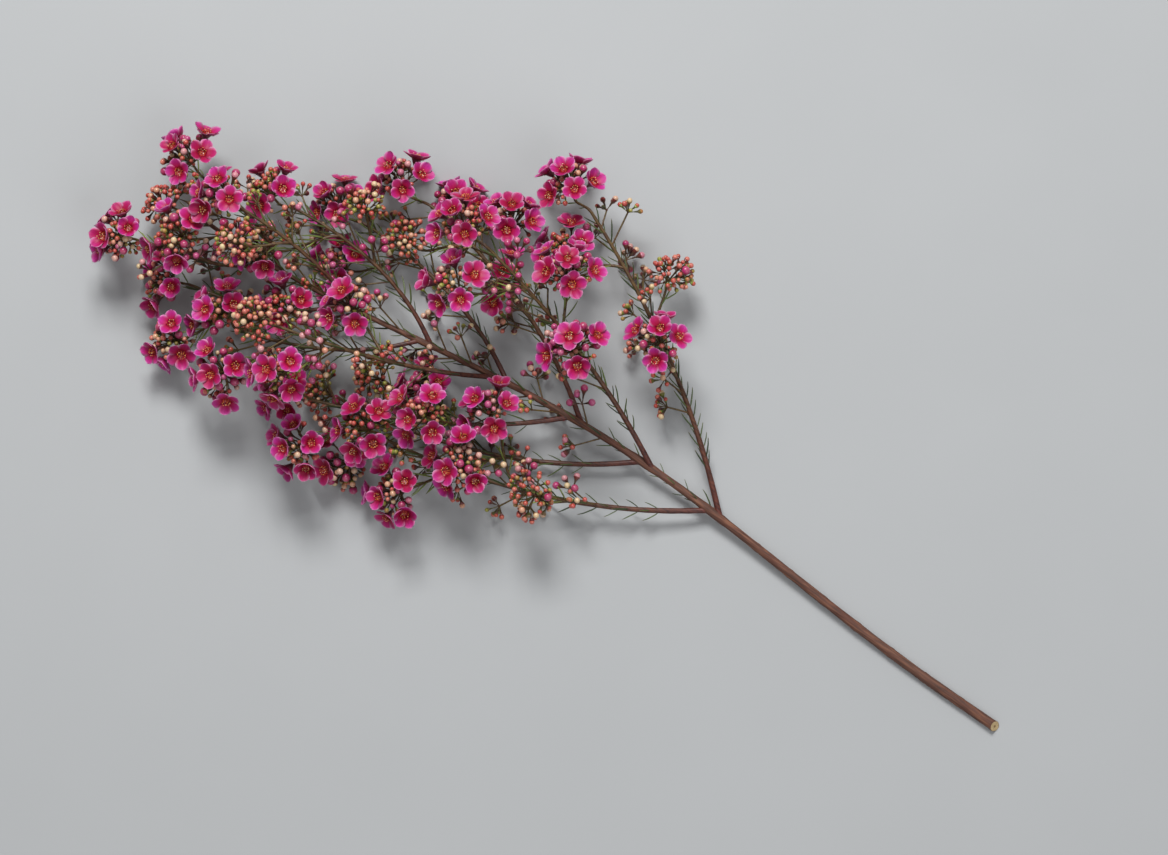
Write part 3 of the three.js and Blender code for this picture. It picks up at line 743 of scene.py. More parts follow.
def flower_balls(flower):
    points, radii = [on_flower(flower, FUNNEL_LENGTH * FUNNEL_BALL_AT, 0, 0)], [FUNNEL_BALL]
    for petal in range(PETALS):
        for share, radius in PETAL_BALLS:
            points.append(on_petal(flower, petal, share * PETAL_LENGTH, 0))
            radii.append(radius)
    return np.array(points), np.array(radii)


def settle(site, organ, points, radii, gap=ORGAN_GAP):
    """Puts an organ in its head if there's room for it and for its stalk."""
    stalk = balls_along(curve(organ.start, organ.base), STALK_BALL_STEP)

    def own_stalk(rows):
        return (ledger.nodes[rows] == site.node) & (ledger.kinds[rows] == STALK)

    def at_root(rows):
        near = np.linalg.norm(ledger.points[rows] - organ.start, axis=1) < CROWDED_AT_ROOT
        return own_stalk(rows) & near

    def at_foot(rows):
        near = np.linalg.norm(ledger.points[rows] - site.foot, axis=1) < CROWDED_AT_FOOT
        return own_stalk(rows) | ((ledger.nodes[rows] == site.carrier.node) & near)

    if len(points) and not ledger.is_clear(points, radii, gap, at_root):
        return False
    if not ledger.is_clear(stalk, STALK_RADIUS, gap, at_foot):
        return False
    if len(points):
        ledger.take(points, radii, site.node, organ.kind)
    ledger.take(stalk, STALK_RADIUS, site.node, STALK)
    return True


flowers = []


def try_flower(site, random, lean, turn, reach):
    way = leaning(site.axis, lean, turn)
    flower = SimpleNamespace(
        kind=FLOWER, site=site, way=way, start=site.hub + way * KNOB_RADIUS,
        base=site.hub + way * reach, scale=random(0.96, 1.12),
        lift=math.radians(random(8, 34)), spin=random(0, 2 * math.pi),
    )
    flower.axis = blend(*zip((way, site.axis, UP), FLOWER_FACING))
    flower.across = across(flower.axis)
    tips = [on_petal(flower, k, *place)[2] for k in range(PETALS) for place in PETAL_CORNERS]
    flower.base[2] += max(0.0, -min(tips))
    if not settle(site, flower, *flower_balls(flower)):
        return False
    flowers.append(flower)
    return True


FOUR_FLOWERS = 0.35  # the share of open heads that have four flowers round their rim
MIDDLE_FLOWERS = 0.75
FLOWER_ATTEMPTS = 5
ATTEMPT_LEAN = 4


def grow_flowers(site):
    random = stream(200 + site.number)
    count = 4 if random(0, 1) < FOUR_FLOWERS else 5
    phase = random(0, 2 * math.pi)
    if random(0, 1) < MIDDLE_FLOWERS:
        lean = math.radians(random(6, 20))
        try_flower(site, random, lean, phase, random(11, 14))
    for i in range(count):
        turn = phase + 2 * math.pi * i / count
        for attempt in range(FLOWER_ATTEMPTS):
            lean = math.radians(random(52, 72) + ATTEMPT_LEAN * attempt * (1 if i % 2 else -1))
            turned = turn + random(-0.15, 0.15)
            if try_flower(site, random, lean, turned, random(9.5, 14.5)):
                break


for site in sites:
    if site.kind == "open":
        grow_flowers(site)

# ---- Flower cups ----
# The floral cup of each flower: a narrow waxy funnel on the stalk, ribbed and red-brown outside. Its
# mouth holds a shallow crimson dish, wet with nectar.

CUP_SIDES = 10
CUP_OUTSIDE = ((0.0, 0.02), (0.12, 0.0), (0.2, 0.24), (0.37, 0.52), (0.52, 0.8), (0.585, 1.0))
CUP_INSIDE = ((0.5, 0.98), (0.45, 0.82), (0.32, 0.7), (0.14, 0.7), (0.0, 0.74))
CUP_RIBS = 0.035


def turned_shape(name, profile, sides, ribs=0.0, twist=0.0, **rules):
    """A shape of turning from a profile of (radius, height) that starts and ends on the axis. Every
    other side stands out by the ribs, and the sides twist as they rise. A rule gives each ring a
    value from its number and height."""
    points, faces, rings, values = [], [], [], {key: [] for key in rules}
    for number, (radius, height) in enumerate(profile):
        sides_here = sides if radius > 0 else 1
        rings.append((len(points), sides_here))
        for k in range(sides_here):
            turn = 2 * math.pi * k / sides + twist * height
            out = radius * (1 + (ribs if k % 2 else -ribs))
            points.append((out * math.cos(turn), out * math.sin(turn), height))
            for key, rule in rules.items():
                values[key].append(rule(number, height))
    for (low, low_sides), (high, high_sides) in zip(rings, rings[1:]):
        if low_sides == 1:
            faces += [(low, high + (k + 1) % sides, high + k) for k in range(sides)]
        elif high_sides == 1:
            faces += [(low + k, low + (k + 1) % sides, high) for k in range(sides)]
        else:
            faces += hoop(low, high, sides)
    return mesh_object(name, points, faces, 1.0, **values)


def ring_height(number, height):
    return height


def grow_organs(add, given):
    """A shape at every point, turned by the point's axis and side and scaled by its size. Where there
    are several shapes, the point's sort picks one. Each copy gets a tint at random."""
    axis, side, size, sort = [
        add("GeometryNodeInputNamedAttribute", {"Name": name}, data_type=kind)
        for name, kind in (
            ("axis", "FLOAT_VECTOR"), ("side", "FLOAT_VECTOR"), ("size", "FLOAT"), ("sort", "INT")
        )
    ]
    box = {"Collection": given["Shapes"], "Separate Children": True, "Reset Children": True}
    shapes = add("GeometryNodeCollectionInfo", box)
    axes = {"Primary Axis": axis, "Secondary Axis": side}
    turned = add("FunctionNodeAxesToRotation", axes, primary_axis="Z", secondary_axis="X")
    drawn = add("FunctionNodeRandomValue", {2: -1.0, 3: 1.0, "Seed": given["Seed"]}, 1)
    spread = add("ShaderNodeMath", {0: drawn, 1: given["Unevenness"]}, operation="MULTIPLY")
    uneven = add("ShaderNodeMath", {0: spread, 1: 1.0}, operation="ADD")
    own_size = add("ShaderNodeMath", {0: size, 1: uneven}, operation="MULTIPLY")
    wide, long = [
        add("ShaderNodeMath", {0: own_size, 1: given[name]}, operation="MULTIPLY")
        for name in ("Width", "Length")
    ]
    copies = {
        "Points": given["Geometry"], "Instance": shapes, "Pick Instance": True,
        "Instance Index": sort, "Rotation": turned,
        "Scale": add("ShaderNodeCombineXYZ", {"X": wide, "Y": wide, "Z": long}),
    }
    other_seed = add("ShaderNodeMath", {0: given["Seed"], 1: 100.0}, operation="ADD")
    stored = {
        "Geometry": add("GeometryNodeInstanceOnPoints", copies), "Name": "tint",
        "Value": add("FunctionNodeRandomValue", {"Seed": other_seed}, 1),
    }
    return add("GeometryNodeStoreNamedAttribute", stored, domain="INSTANCE")


organ_inputs = {
    "Shapes": "Collection", "Length": "Float", "Width": "Float", "Unevenness": "Float", "Seed": "Int",
}
organs = growing_tree("organs at points", organ_inputs, grow_organs)


def organ_piece(name, rows, shapes, length, seed, skin, width=None, unevenness=0.0, **more):
    """One piece of many organs: a row is a point, an axis, a side, a size and the shape's sort."""
    points, axis, side, size, sort = zip(*rows)
    box = bpy.data.collections.new(name)
    for shape in shapes:
        box.objects.link(shape)
    inputs = {
        "Shapes": box, "Length": length * MM, "Width": (width or length) * MM,
        "Unevenness": unevenness, "Seed": seed, "Material": skin,
    }
    values = {"axis": axis, "side": side, "size": size, "sort": sort, **more}
    piece = grown(name, points, [], organs, inputs, **values)
    for shape in shapes:
        bpy.data.objects.remove(shape)
    bpy.data.collections.remove(box)
    return piece


def cup_look(add, place, height, inside):
    """Waxy plant skin. Olive at the stalk, flushed wine red towards the mouth, with a thin wax that
    gives a soft sheen. The dish inside is deep crimson."""
    shade = add(
        "ShaderNodeValToRGB", {"Fac": height},
        stops=((0.0, "#4E3C22"), (0.45, "#5E2C28"), (0.95, "#8A2450")),
    )
    freckles = add("ShaderNodeTexNoise", blotches(place, 0.5))
    freckled = add("ShaderNodeMix", {"Factor": freckles, 6: shade, 7: "#4A2430"}, **COLOUR_MIX)
    pools = add("ShaderNodeTexNoise", blotches(place, 0.7))
    dish = add("ShaderNodeValToRGB", {"Fac": pools}, stops=((0.3, "#860C20"), (0.7, "#BE2A28")))
    base = add("ShaderNodeMix", {"Factor": inside, 6: freckled, 7: dish}, **COLOUR_MIX)
    return base, add("ShaderNodeTexNoise", blotches(place, 0.35))


cup_skin = material(
    "waxy_floral_cup", cup_look, 0.04, ("height", "inside"), Roughness=0.38, Coat_Weight=0.25
)
cup = turned_shape(
    "cup", CUP_OUTSIDE + CUP_INSIDE, CUP_SIDES, CUP_RIBS,
    inside=lambda number, height: float(number >= len(CUP_OUTSIDE)), height=ring_height,
)
rows = [(f.base, f.axis, around(f.across, f.spin), f.scale, 0) for f in flowers]
flower_cups = organ_piece("flower_cups", rows, [cup], FUNNEL_LENGTH, seed=5, skin=cup_skin)
show(flower_cups)
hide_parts(*[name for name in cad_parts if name.startswith("flower_head")])

# ---- Petals ----
# Five round waxy petals, each joined along one side of the cup's mouth, hollowed like a spoon, with a
# slightly rolled pale rim, paler partly of its own and partly by a painted highlight. Their undersides
# are painted darker as shade. They stand a little differently in every flower.

PETAL_ROWS = (0.0, 0.2, 0.42, 0.64, 0.82, 0.94, 0.995)
PETAL_COLUMNS = 4
PETAL_BASE = 0.31
PETAL_WIDEST = 0.5
PETAL_WAIST = 0.58
PETAL_SKIN = 0.045
PETAL_BOW = 0.06
PETAL_SPOON = 0.4
PETAL_DROOPS_FROM = 0.55
PETAL_CRINKLE = 0.05
PETAL_WAVES = (9, 5, 7)  # of the crinkle: along the petal, across it and from form to form
PETAL_SUNK = 0.03
PETAL_SET_IN = 0.25
PETAL_STEP = 0.18  # by which every other petal stands higher, over its neighbours
PETAL_FORMS = ((0.7, 0.0, 0.0), (0.5, 0.35, 0.05), (0.95, -0.1, -0.05), (0.6, 0.15, -0.08))


def blade(name, rows, columns, form, sharp_rim=False):
    """A thin blade, closed at its rim. Its form gives a point and the values there for a side, which
    is 1 above and 0 below, a row, and a place across it from -1 to 1."""
    points, values, faces = [], [], []
    row_length = columns + 1
    for side in (1, 0):
        for row in rows:
            for j in range(row_length):
                point, at_point = form(side, row, 2 * j / columns - 1)
                points.append(point)
                values.append(at_point)
    count = len(rows) * row_length
    for i in range(len(rows) - 1):
        for j in range(columns):
            a = i * row_length + j
            b = a + row_length
            faces.append((a, b, b + 1, a + 1))
            faces.append((count + a, count + a + 1, count + b + 1, count + b))
    flat_faces = len(faces)
    start = list(range(row_length))
    right = [i * row_length + columns for i in range(1, len(rows))]
    end = [count - 1 - j for j in range(1, row_length)]
    left = [i * row_length for i in range(len(rows) - 2, 0, -1)]
    rim = start + right + end + left
    for a, b in zip(rim, rim[1:] + rim[:1]):
        faces.append((a, b, count + b, count + a))
    made = mesh_object(
        name, points, faces, 1.0, **{key: [at[key] for at in values] for key in values[0]}
    )
    if sharp_rim:
        sharp = made.data.attributes.new("sharp_face", "BOOLEAN", "FACE")
        sharp.data.foreach_set("value", [n >= flat_faces for n in range(len(faces))])
    return made


def petal_half_width(x):
    if x < PETAL_WIDEST:
        return mix(PETAL_BASE, PETAL_WAIST, math.sin(x / PETAL_WIDEST * math.pi / 2))
    t = (x - PETAL_WIDEST) / (1 - PETAL_WIDEST)
    return PETAL_WAIST * math.sqrt(max(0.0, 1 - t * t))


def petal_shape(name, hollow, droop, lean):
    """A petal of length 1 along X from the mouth, hollow upwards: its edge rises, its tip droops."""
    along, over, by_form = PETAL_WAVES

    def form(side, x, v):
        y = v * petal_half_width(x)
        rise = hollow * (y * y + PETAL_SPOON * x**3) - droop * max(0.0, x - PETAL_DROOPS_FROM) ** 2
        rise += lean * y * x
        rise += PETAL_CRINKLE * math.sin(along * x + over * v + by_form * hollow) * x * abs(y)
        rim = max(abs(v), x) ** 3
        rise += side * PETAL_SKIN * (1 - 0.85 * rim)
        edge = max(abs(v) ** 3 * min(1.0, 3 * x), x**6)
        values = {"out": x, "edge": edge, "under": (1 - side) * (1 - rim), "aside": v}
        return (x - PETAL_SUNK + PETAL_BOW * (1 - v * v) * x - PETAL_SUNK * x, y, rise), values

    return blade(name, PETAL_ROWS, PETAL_COLUMNS, form, sharp_rim=True)


def petal_look(add, place, out, tint, tone, aside, edge, under):
    """Petal tissue under a film of wax: translucent, with a silky sheen. Deep crimson pink at the
    mouth, magenta pink in the blade and pale pink along the rim, partly its own paler edge and partly
    a painted highlight, with fine veins fanning out. The underside is painted darker as shade."""
    deep = add(
        "ShaderNodeValToRGB", {"Fac": out},
        stops=((0.0, "#84081A"), (0.22, "#9C0A2C"), (0.55, "#B00E46"), (1.0, "#BC1A62")),
    )
    light = add(
        "ShaderNodeValToRGB", {"Fac": out},
        stops=((0.0, "#A60A26"), (0.25, "#BE1858"), (0.6, "#CE309E"), (1.0, "#DC54C6")),
    )
    lightness = add("ShaderNodeMath", {0: tint, 1: 0.3, 2: tone}, operation="MULTIPLY_ADD")
    base = add("ShaderNodeMix", {"Factor": lightness, 6: deep, 7: light}, **COLOUR_MIX)
    fan = add("ShaderNodeCombineXYZ", {"X": aside, "Y": out, "Z": tint})
    fanned = add("ShaderNodeMapping", {"Vector": fan, "Scale": (5, 0.8, 30)})
    lines = add("ShaderNodeTexNoise", {"Vector": fanned, "Scale": 1.0, "Detail": 2.0})
    veins = add("ShaderNodeValToRGB", {"Fac": lines}, stops=((0.4, "#808080"), (0.6, "#000000")))
    clouds = add("ShaderNodeTexNoise", blotches(place, 3.5))
    # The pale rim is partly the petal's own paler edge and partly a painted highlight where edges catch
    # light.
    rim = add("ShaderNodeMath", {0: edge, 1: 2.5}, operation="POWER")
    clouded, pale_rim_and_highlight, painted_underside_shade = [
        add("ShaderNodeMath", {0: share, 1: strength}, operation="MULTIPLY")
        for share, strength in ((clouds, 0.45), (rim, 0.75), (under, 0.4))
    ]
    # The underside's darker crimson wash is painted shade, and the pale rim wash is partly a painted
    # highlight.
    for share, shade in (
        (clouded, "#940E48"), (veins, "#7E0A32"), (pale_rim_and_highlight, "#EAB0D4"), (painted_underside_shade, "#82123A")
    ):
        base = add("ShaderNodeMix", {"Factor": share, 6: base, 7: shade}, **COLOUR_MIX)
    return base, add("ShaderNodeTexNoise", blotches(place, 0.6, 3.0))


petal_skin = material(
    "waxy_petal", petal_look, 0.06, ("out", "tint", "tone", "aside", "edge", "under"),
    Roughness=0.45, Specular_IOR_Level=0.2, Coat_Weight=0.04, Coat_Roughness=0.3,
    Subsurface_Weight=0.08, Subsurface_Scale=0.001, Sheen_Weight=0.05, Sheen_Tint="#E878D0",
)


def hinged(flower, turn, lift):
    """The upright and the outward direction of an organ hinged at a flower's mouth and lifted."""
    outward = around(flower.across, turn)
    upright = flower.axis * math.cos(lift) - outward * math.sin(lift)
    return upright, outward * math.cos(lift) + flower.axis * math.sin(lift)


rows, tones = [], []
for number, flower in enumerate(flowers):
    random = stream(500 + number)
    for petal in range(PETALS):
        turn = flower.spin + 2 * math.pi * petal / PETALS + math.radians(random(-4, 4))
        lift = flower.lift + math.radians(random(-7, 7))
        height = FUNNEL_LENGTH - PETAL_SET_IN + PETAL_STEP * (petal % 2)
        mouth = on_flower(flower, height, MOUTH_APOTHEM, turn)
        sort = int(random(0, len(PETAL_FORMS)))
        rows.append((mouth, *hinged(flower, turn, lift), flower.scale, sort))
    tones += [random(0, 0.7)] * PETALS
shapes = [petal_shape(f"petal_{n}", *form) for n, form in enumerate(PETAL_FORMS)]
petals = organ_piece(
    "petals", rows, shapes, PETAL_LENGTH, seed=6, skin=petal_skin, unevenness=0.04, tone=tones
)
show(petals)

# ---- Sepals ----
# Five small round sepals, thin as paper and pale pink, at the cup's mouth between the petals. They
# spread with the petals and show from behind.

SEPAL_LENGTH = 1.7
SEPAL_OUTLINE = ((0.0, 0.3), (0.35, 0.46), (0.75, 0.34), (1.0, 0.1))  # distance out and half width
SEPAL_HOLLOW = 0.5
SEPAL_CURL = 0.15
SEPAL_SKIN = 0.08
SEPAL_SPREAD = 0.6  # of the petals' lift
SEPAL_SET_IN = 0.55
SEPAL_RING = 0.96 * MOUTH_RADIUS


def sepal_form(side, row, v):
    """A sepal of length 1 along X, hollow upwards."""
    x, half = row
    y = v * half
    rise = SEPAL_HOLLOW * y * y + SEPAL_CURL * x * x + side * SEPAL_SKIN
    return (x, y, rise), {"below": 1 - side}


def sepal_look(add, place, below):
    """A papery scale under thin wax, pink with a brownish back."""
    fibres = add("ShaderNodeTexNoise", blotches(place, 0.6))
    front = add("ShaderNodeValToRGB", {"Fac": fibres}, stops=((0.3, "#B04878"), (0.7, "#D090A8")))
    base = add("ShaderNodeMix", {"Factor": below, 6: front, 7: "#8A5040"}, **COLOUR_MIX)
    return base, add("ShaderNodeTexNoise", blotches(place, 0.3))


rows = []
for flower in flowers:
    for k in range(PETALS):
        turn = flower.spin + 2 * math.pi * (k + 0.5) / PETALS
        mouth = on_flower(flower, FUNNEL_LENGTH - SEPAL_SET_IN, SEPAL_RING, turn)
        rows.append((mouth, *hinged(flower, turn, SEPAL_SPREAD * flower.lift), flower.scale, 0))
sepal_skin = material("papery_sepal", sepal_look, 0.03, ("below",), Roughness=0.5)
sepal = blade("sepal", SEPAL_OUTLINE, 2, sepal_form)
sepals = organ_piece(
    "sepals", rows, [sepal], SEPAL_LENGTH, seed=16, skin=sepal_skin, unevenness=0.1
)
show(sepals)

# ---- Stamens and styles ----
# Ten stamens stand round the rim of the dish and bend in over it, each a thin stalk with an anther
# at its end. One taller style with a knob stands in the middle.

STAMENS = 10
STAMEN_LENGTH = 2.6
STAMEN_BEND = ((0.0, 0.0), (0.02, 0.4), (-0.08, 0.75), (-0.22, 0.97))
STAMEN_RADIUS = 0.06
STAMEN_TAPER = 0.12  # from ring to ring
STAMEN_FOOT = 0.9 * FUNNEL_LENGTH
STAMEN_RING = 0.84 * MOUTH_RADIUS
ANTHER_RADIUS = 0.12
ANTHER_LENGTH = 1.25
ANTHER_HEIGHTS = (-0.6, 0.1, 1.1)  # of its foot, its four corners and its top, in radii
STYLE_LENGTH = 4.0
STYLE_FOOT = 0.7 * FUNNEL_LENGTH
STYLE_SIDES = 6
STYLE_NECK = 0.88
STYLE_KNOB_TONE = 0.8  # how far the knob is coloured like an anther
STYLE_PROFILE = (
    (0.0, 0.0), (0.05, 0.0), (0.03, 0.25), (0.026, STYLE_NECK), (0.055, 0.93), (0.05, 0.98),
    (0.0, 1.0),
)


def stamen_shape():
    """A bent three-sided stalk along Z that bends towards -X, with an eight-sided anther."""
    points = []
    for number, (x, z) in enumerate(STAMEN_BEND):
        radius = STAMEN_RADIUS * (1 - STAMEN_TAPER * number)
        points += [(x + radius * math.cos(turn), radius * math.sin(turn), z) for turn in turns(3)]
    faces = tube(len(STAMEN_BEND), 3)
    x, z = STAMEN_BEND[-1]
    first = len(points)
    off = ANTHER_RADIUS
    foot, corners, top = [z + height * off for height in ANTHER_HEIGHTS]
    points.append((x, 0, foot))
    for turn in turns(4):
        points.append((x + off * math.cos(turn), ANTHER_LENGTH * off * math.sin(turn), corners))
    points.append((x, 0, top))
    for k in range(4):
        a, b = first + 1 + k, first + 1 + (k + 1) % 4
        faces += [(first, b, a), (first + 5, a, b)]
    return mesh_object("stamen", points, faces, 1.0, anther=[0.0] * first + [1.0] * 6)


def stamen_look(add, place, tint, anther):
    """Moist filament tissue, rose red to amber. The anthers are dusty, pale yellow to brownish
    pink."""
    filament = add("ShaderNodeMix", {"Factor": tint, 6: "#C42C34", 7: "#E27830"}, **COLOUR_MIX)
    head = add(
        "ShaderNodeValToRGB", {"Fac": tint},
        stops=((0.0, "#F2DCA4"), (0.6, "#E89E40"), (1.0, "#B0502C")),
    )
    base = add("ShaderNodeMix", {"Factor": anther, 6: filament, 7: head}, **COLOUR_MIX)
    return base, add("ShaderNodeTexNoise", blotches(place, 0.2))


rows = []
for number, flower in enumerate(flowers):
    random = stream(700 + number)
    for k in range(STAMENS):
        turn = flower.spin + 2 * math.pi * (k + 0.5) / STAMENS
        foot = on_flower(flower, STAMEN_FOOT, STAMEN_RING, turn)
        tilt = math.radians(random(-12, 20))
        size = flower.scale * random(0.85, 1.15)
        rows.append((foot, *hinged(flower, turn, tilt), size, 0))
stamen_skin = material(
    "filament_and_anther", stamen_look, 0.03, ("tint", "anther"), Roughness=0.45
)
stamen = stamen_shape()
stamens = organ_piece("stamens", rows, [stamen], STAMEN_LENGTH, seed=7, skin=stamen_skin)
show(stamens)

style = turned_shape(
    "style", STYLE_PROFILE, STYLE_SIDES,
    anther=lambda number, height: STYLE_KNOB_TONE if height > STYLE_NECK else 0.0,
)
rows = []
for flower in flowers:
    foot = on_flower(flower, STYLE_FOOT, 0, 0)
    rows.append((foot, flower.axis, around(flower.across, flower.spin), flower.scale, 0))
styles = organ_piece(
    "styles", rows, [style], STYLE_LENGTH, seed=8, skin=stamen_skin, unevenness=0.08
)
show(styles)

# ---- Buds: where each sits ----
# Between the flowers stand ripe buds on stalks of their own, and tufts, whose stalk forks into a
# small dome of younger buds. A head with no open flower yet is all tufts.

BUD_MIDDLE = 1.5  # above the stalk's end, in radii
RIPE_BUDS = {"open": 8, "young": 1}
RIPE_STALK = STALK_RADIUS
RIPE_ATTEMPTS = 5
ATTEMPT_TURN = 0.5
SPIRAL = 2.4  # radians round the head from one bud stalk to the next
TUFTS = 5
TUFT_BUDS = 5
TUFT_STALK = 0.4
TUFT_LEANS = (8, 44)  # degrees, of the bud in its middle and of those round it
TUFT_LEAST = 1.25
TUFT_GROWTH = 1.1  # of the radius, from the youngest to the oldest
LOWEST_FORK = 2

buds = []
forks = []


def try_bud(site, start, axis, reach, radius, stage, stalk_radius, gap=ORGAN_GAP):
    base = start + axis * reach
    middle = base + axis * radius * BUD_MIDDLE
    lift = max(0.0, radius - middle[2])
    base[2] += lift
    middle[2] += lift
    bud = SimpleNamespace(
        kind=BUD, site=site, start=start, base=base, axis=axis, radius=radius, stage=stage,
        stalk_radius=stalk_radius,
    )
    if not settle(site, bud, [middle], [radius], gap):
        return False
    buds.append(bud)
    return True


def grow_fork(site, way, reach, stage, gap):
    """A stalk that ends in a fork, if there is room for it."""
    fork = SimpleNamespace(
        kind=STALK, site=site, way=way, start=site.hub + way * KNOB_RADIUS,
        base=site.hub + way * reach, stage=stage,
    )
    fork.base[2] = max(fork.base[2], LOWEST_FORK)
    return fork if settle(site, fork, [], [], gap) else None


def grow_tuft(site, random, lean, turn, count, stage):
    way = leaning(site.axis, lean, turn)
    fork = grow_fork(site, way, random(6, 9.5), stage, ORGAN_GAP)
    if not fork:
        return
    before = len(buds)
    phase = random(0, 2 * math.pi)
    for i in range(count):
        bud_lean = math.radians(TUFT_LEANS[min(i, 1)] + random(-7, 7))
        bud_way = leaning(way, bud_lean, phase + 2 * math.pi * i / max(1, count - 1))
        bud_stage = stage + random(-0.12, 0.12)
        radius = TUFT_LEAST + TUFT_GROWTH * bud_stage
        reach = random(3.2, 4.4) + radius
        try_bud(site, fork.base, bud_way, reach, radius, bud_stage, TUFT_STALK)
    if len(buds) > before:
        forks.append(fork)


def grow_ripe_bud(site, random, turn):
    lean = math.radians(random(15, 75))
    radius = random(2.2, 2.75)
    reach = random(8, 11)
    for attempt in range(RIPE_ATTEMPTS):
        way = leaning(site.axis, lean, turn + ATTEMPT_TURN * attempt)
        start = site.hub + way * KNOB_RADIUS
        if try_bud(site, start, way, reach, radius, 1, RIPE_STALK):
            return


def grow_buds(site):
    random = stream(300 + site.number)
    young = site.kind == "young"
    phase = random(0, 2 * math.pi)
    lean = math.radians(random(2, 12))
    grow_tuft(site, random, lean, phase, TUFT_BUDS + 1, random(0.15, 0.5 if young else 0.8))
    for i in range(1, RIPE_BUDS[site.kind] + 1):
        grow_ripe_bud(site, random, phase + SPIRAL * i)
    for i in range(1, TUFTS + 1):
        lean = math.radians(random(32, 58))
        stage = random(0.08, 0.45 if young else 0.85)
        grow_tuft(site, random, lean, phase + SPIRAL * i, TUFT_BUDS, stage)


for site in sites:
    grow_buds(site)

# ---- Needle leaves: where each stands ----
# Needles grow in opposite pairs, each pair across the last, along the branches, the upper stem and,
# closest together, the flower twigs. They lean towards the tip, and one that has no room is left out.

LEAF_LENGTH = 14
LEAF_RADIUS = 0.75
LEAF_ROOM = LEAF_RADIUS + 0.1
LOWEST_LEAF = LEAF_RADIUS + 0.2
LEAF_SWEEP = (0.8, 0.3)  # how much it points out from the bark and on along it
CLEAR_FROM = 0.25  # of its length, past which a needle keeps clear
LEAF_STEP = 6
STEM_LEAF_STEP = 1.4 * LEAF_STEP
TWIG_LEAF_STEP = 0.7 * LEAF_STEP

leaves = []


def try_leaf(node_number, random, root, forward, turn, length, youth, bark):
    way = leaning(forward, math.radians(random(32, 52)), turn)
    tip = root + blend(*zip((way, forward), LEAF_SWEEP)) * length
    tip[2] = max(tip[2], LOWEST_LEAF)
    direction = unit(tip - root)
    balls = balls_along(curve(root + direction * CLEAR_FROM * length, tip))

    def own_wood(rows):
        return (ledger.nodes[rows] == node_number) & (ledger.kinds[rows] <= STALK)

    if ledger.is_clear(balls, LEAF_ROOM, ORGAN_GAP, own_wood):
        ledger.take(balls, LEAF_ROOM, node_number, LEAF)
        leaf = SimpleNamespace(root=root, tip=tip, forward=forward, youth=youth, bark=bark)
        leaves.append(leaf)


def grow_leaves(node_number, number, path, start, end, step, youth, bark):
    """Needles in pairs along a path, whose bark is as thick as its rule says at a share of the way."""
    random = stream(400 + number)
    pairs = math.floor((end - start) * length_of(path) / step)
    phase = random(0, math.pi)
    for i in range(pairs):
        at = start + (end - start) * (i + 0.5) / pairs
        root = path(at)
        forward = direction_on(path, at)
        for half in (0, math.pi):
            turn = phase + half + (i % 2) * (math.pi / 2) + random(-0.3, 0.3)
            length = LEAF_LENGTH * random(0.7, 1.15)
            try_leaf(node_number, random, root, forward, turn, length, youth, bark(at))


def branch_bark(branch):
    return lambda share: ROUND_TWIG * mix(branch.radius, BRANCH_TIP_RADIUS, share)


def twig_bark(share):
    return TWIG_RADIUS


for i, branch in enumerate(branches):
    grow_leaves(branch.node, i, branch.path, 0.1, 0.97, LEAF_STEP, 0, branch_bark(branch))
grow_leaves(STEM_NODE, 40, stem_point, FIRST_PAIR, 0.98, STEM_LEAF_STEP, 0, stem_radius)
for i, site in enumerate(sites):
    grow_leaves(site.carrier.node, 50 + i, site.twig, 0.12, 0.9, TWIG_LEAF_STEP, 1, twig_bark)

# ---- Tiny buds ----
# The youngest buds close up the dome of every tuft, and more tufts of them sit low in the head. They
# are the last to grow, in the room that is left.

TINY_GAP = 0.1
TINY_STALK = 0.34
TINY_BUDS = 9
TINY_TUFTS = 7
TINY_AGES = 0.15  # by which buds of one tuft are older or younger than it
TINY_LEAST = 1.15
TINY_GROWTH = 0.4


def fill_tuft(fork, random, count, ages, growth):
    """Adds buds round a fork, whose ages spread about the fork's and whose radius grows with age."""
    before = len(buds)
    for _ in range(count):
        way = leaning(fork.way, math.radians(random(5, 80)), random(0, 2 * math.pi))
        stage = min(1.0, max(0.0, fork.stage + random(-ages, ages)))
        radius = TINY_LEAST + growth * stage + random(-0.1, 0.2)
        reach = random(2.6, 4.8) + radius
        try_bud(fork.site, fork.base, way, reach, radius, stage, TINY_STALK, TINY_GAP)
    return len(buds) > before


def grow_tiny_buds(site):
    random = stream(900 + site.number)
    for fork in [fork for fork in forks if fork.site is site]:
        fill_tuft(fork, random, TINY_BUDS, TINY_AGES, TINY_GROWTH)
    for _ in range(TINY_TUFTS):
        way = leaning(site.axis, math.radians(random(15, 80)), random(0, 2 * math.pi))
        fork = grow_fork(site, way, random(4.5, 9), random(0.05, 0.45), TINY_GAP)
        if fork and fill_tuft(fork, random, TINY_BUDS, TINY_AGES, TINY_GROWTH):
            forks.append(fork)


for site in sites:
    grow_tiny_buds(site)

# ---- Bud twigs ----
# In the axils of the needles, short thin twigs carry tufts of buds of every age, from green to pink,
# along the branches and the upper stem. They will be the next heads.

BUD_TWIG_STEP = 9
BUD_TWIG_BUDS = 12
BUD_TWIG_RADIUS = 0.5
BUD_TWIG_AGES = 0.25
BUD_TWIG_GROWTH = 1.0
BUD_TWIG_ATTEMPTS = 4
BUD_TWIG_TURN = 1.6  # radians round the branch from one attempt to the next
BUD_TWIG_YOUTH = (0.4, 0.8)

bud_twigs = []


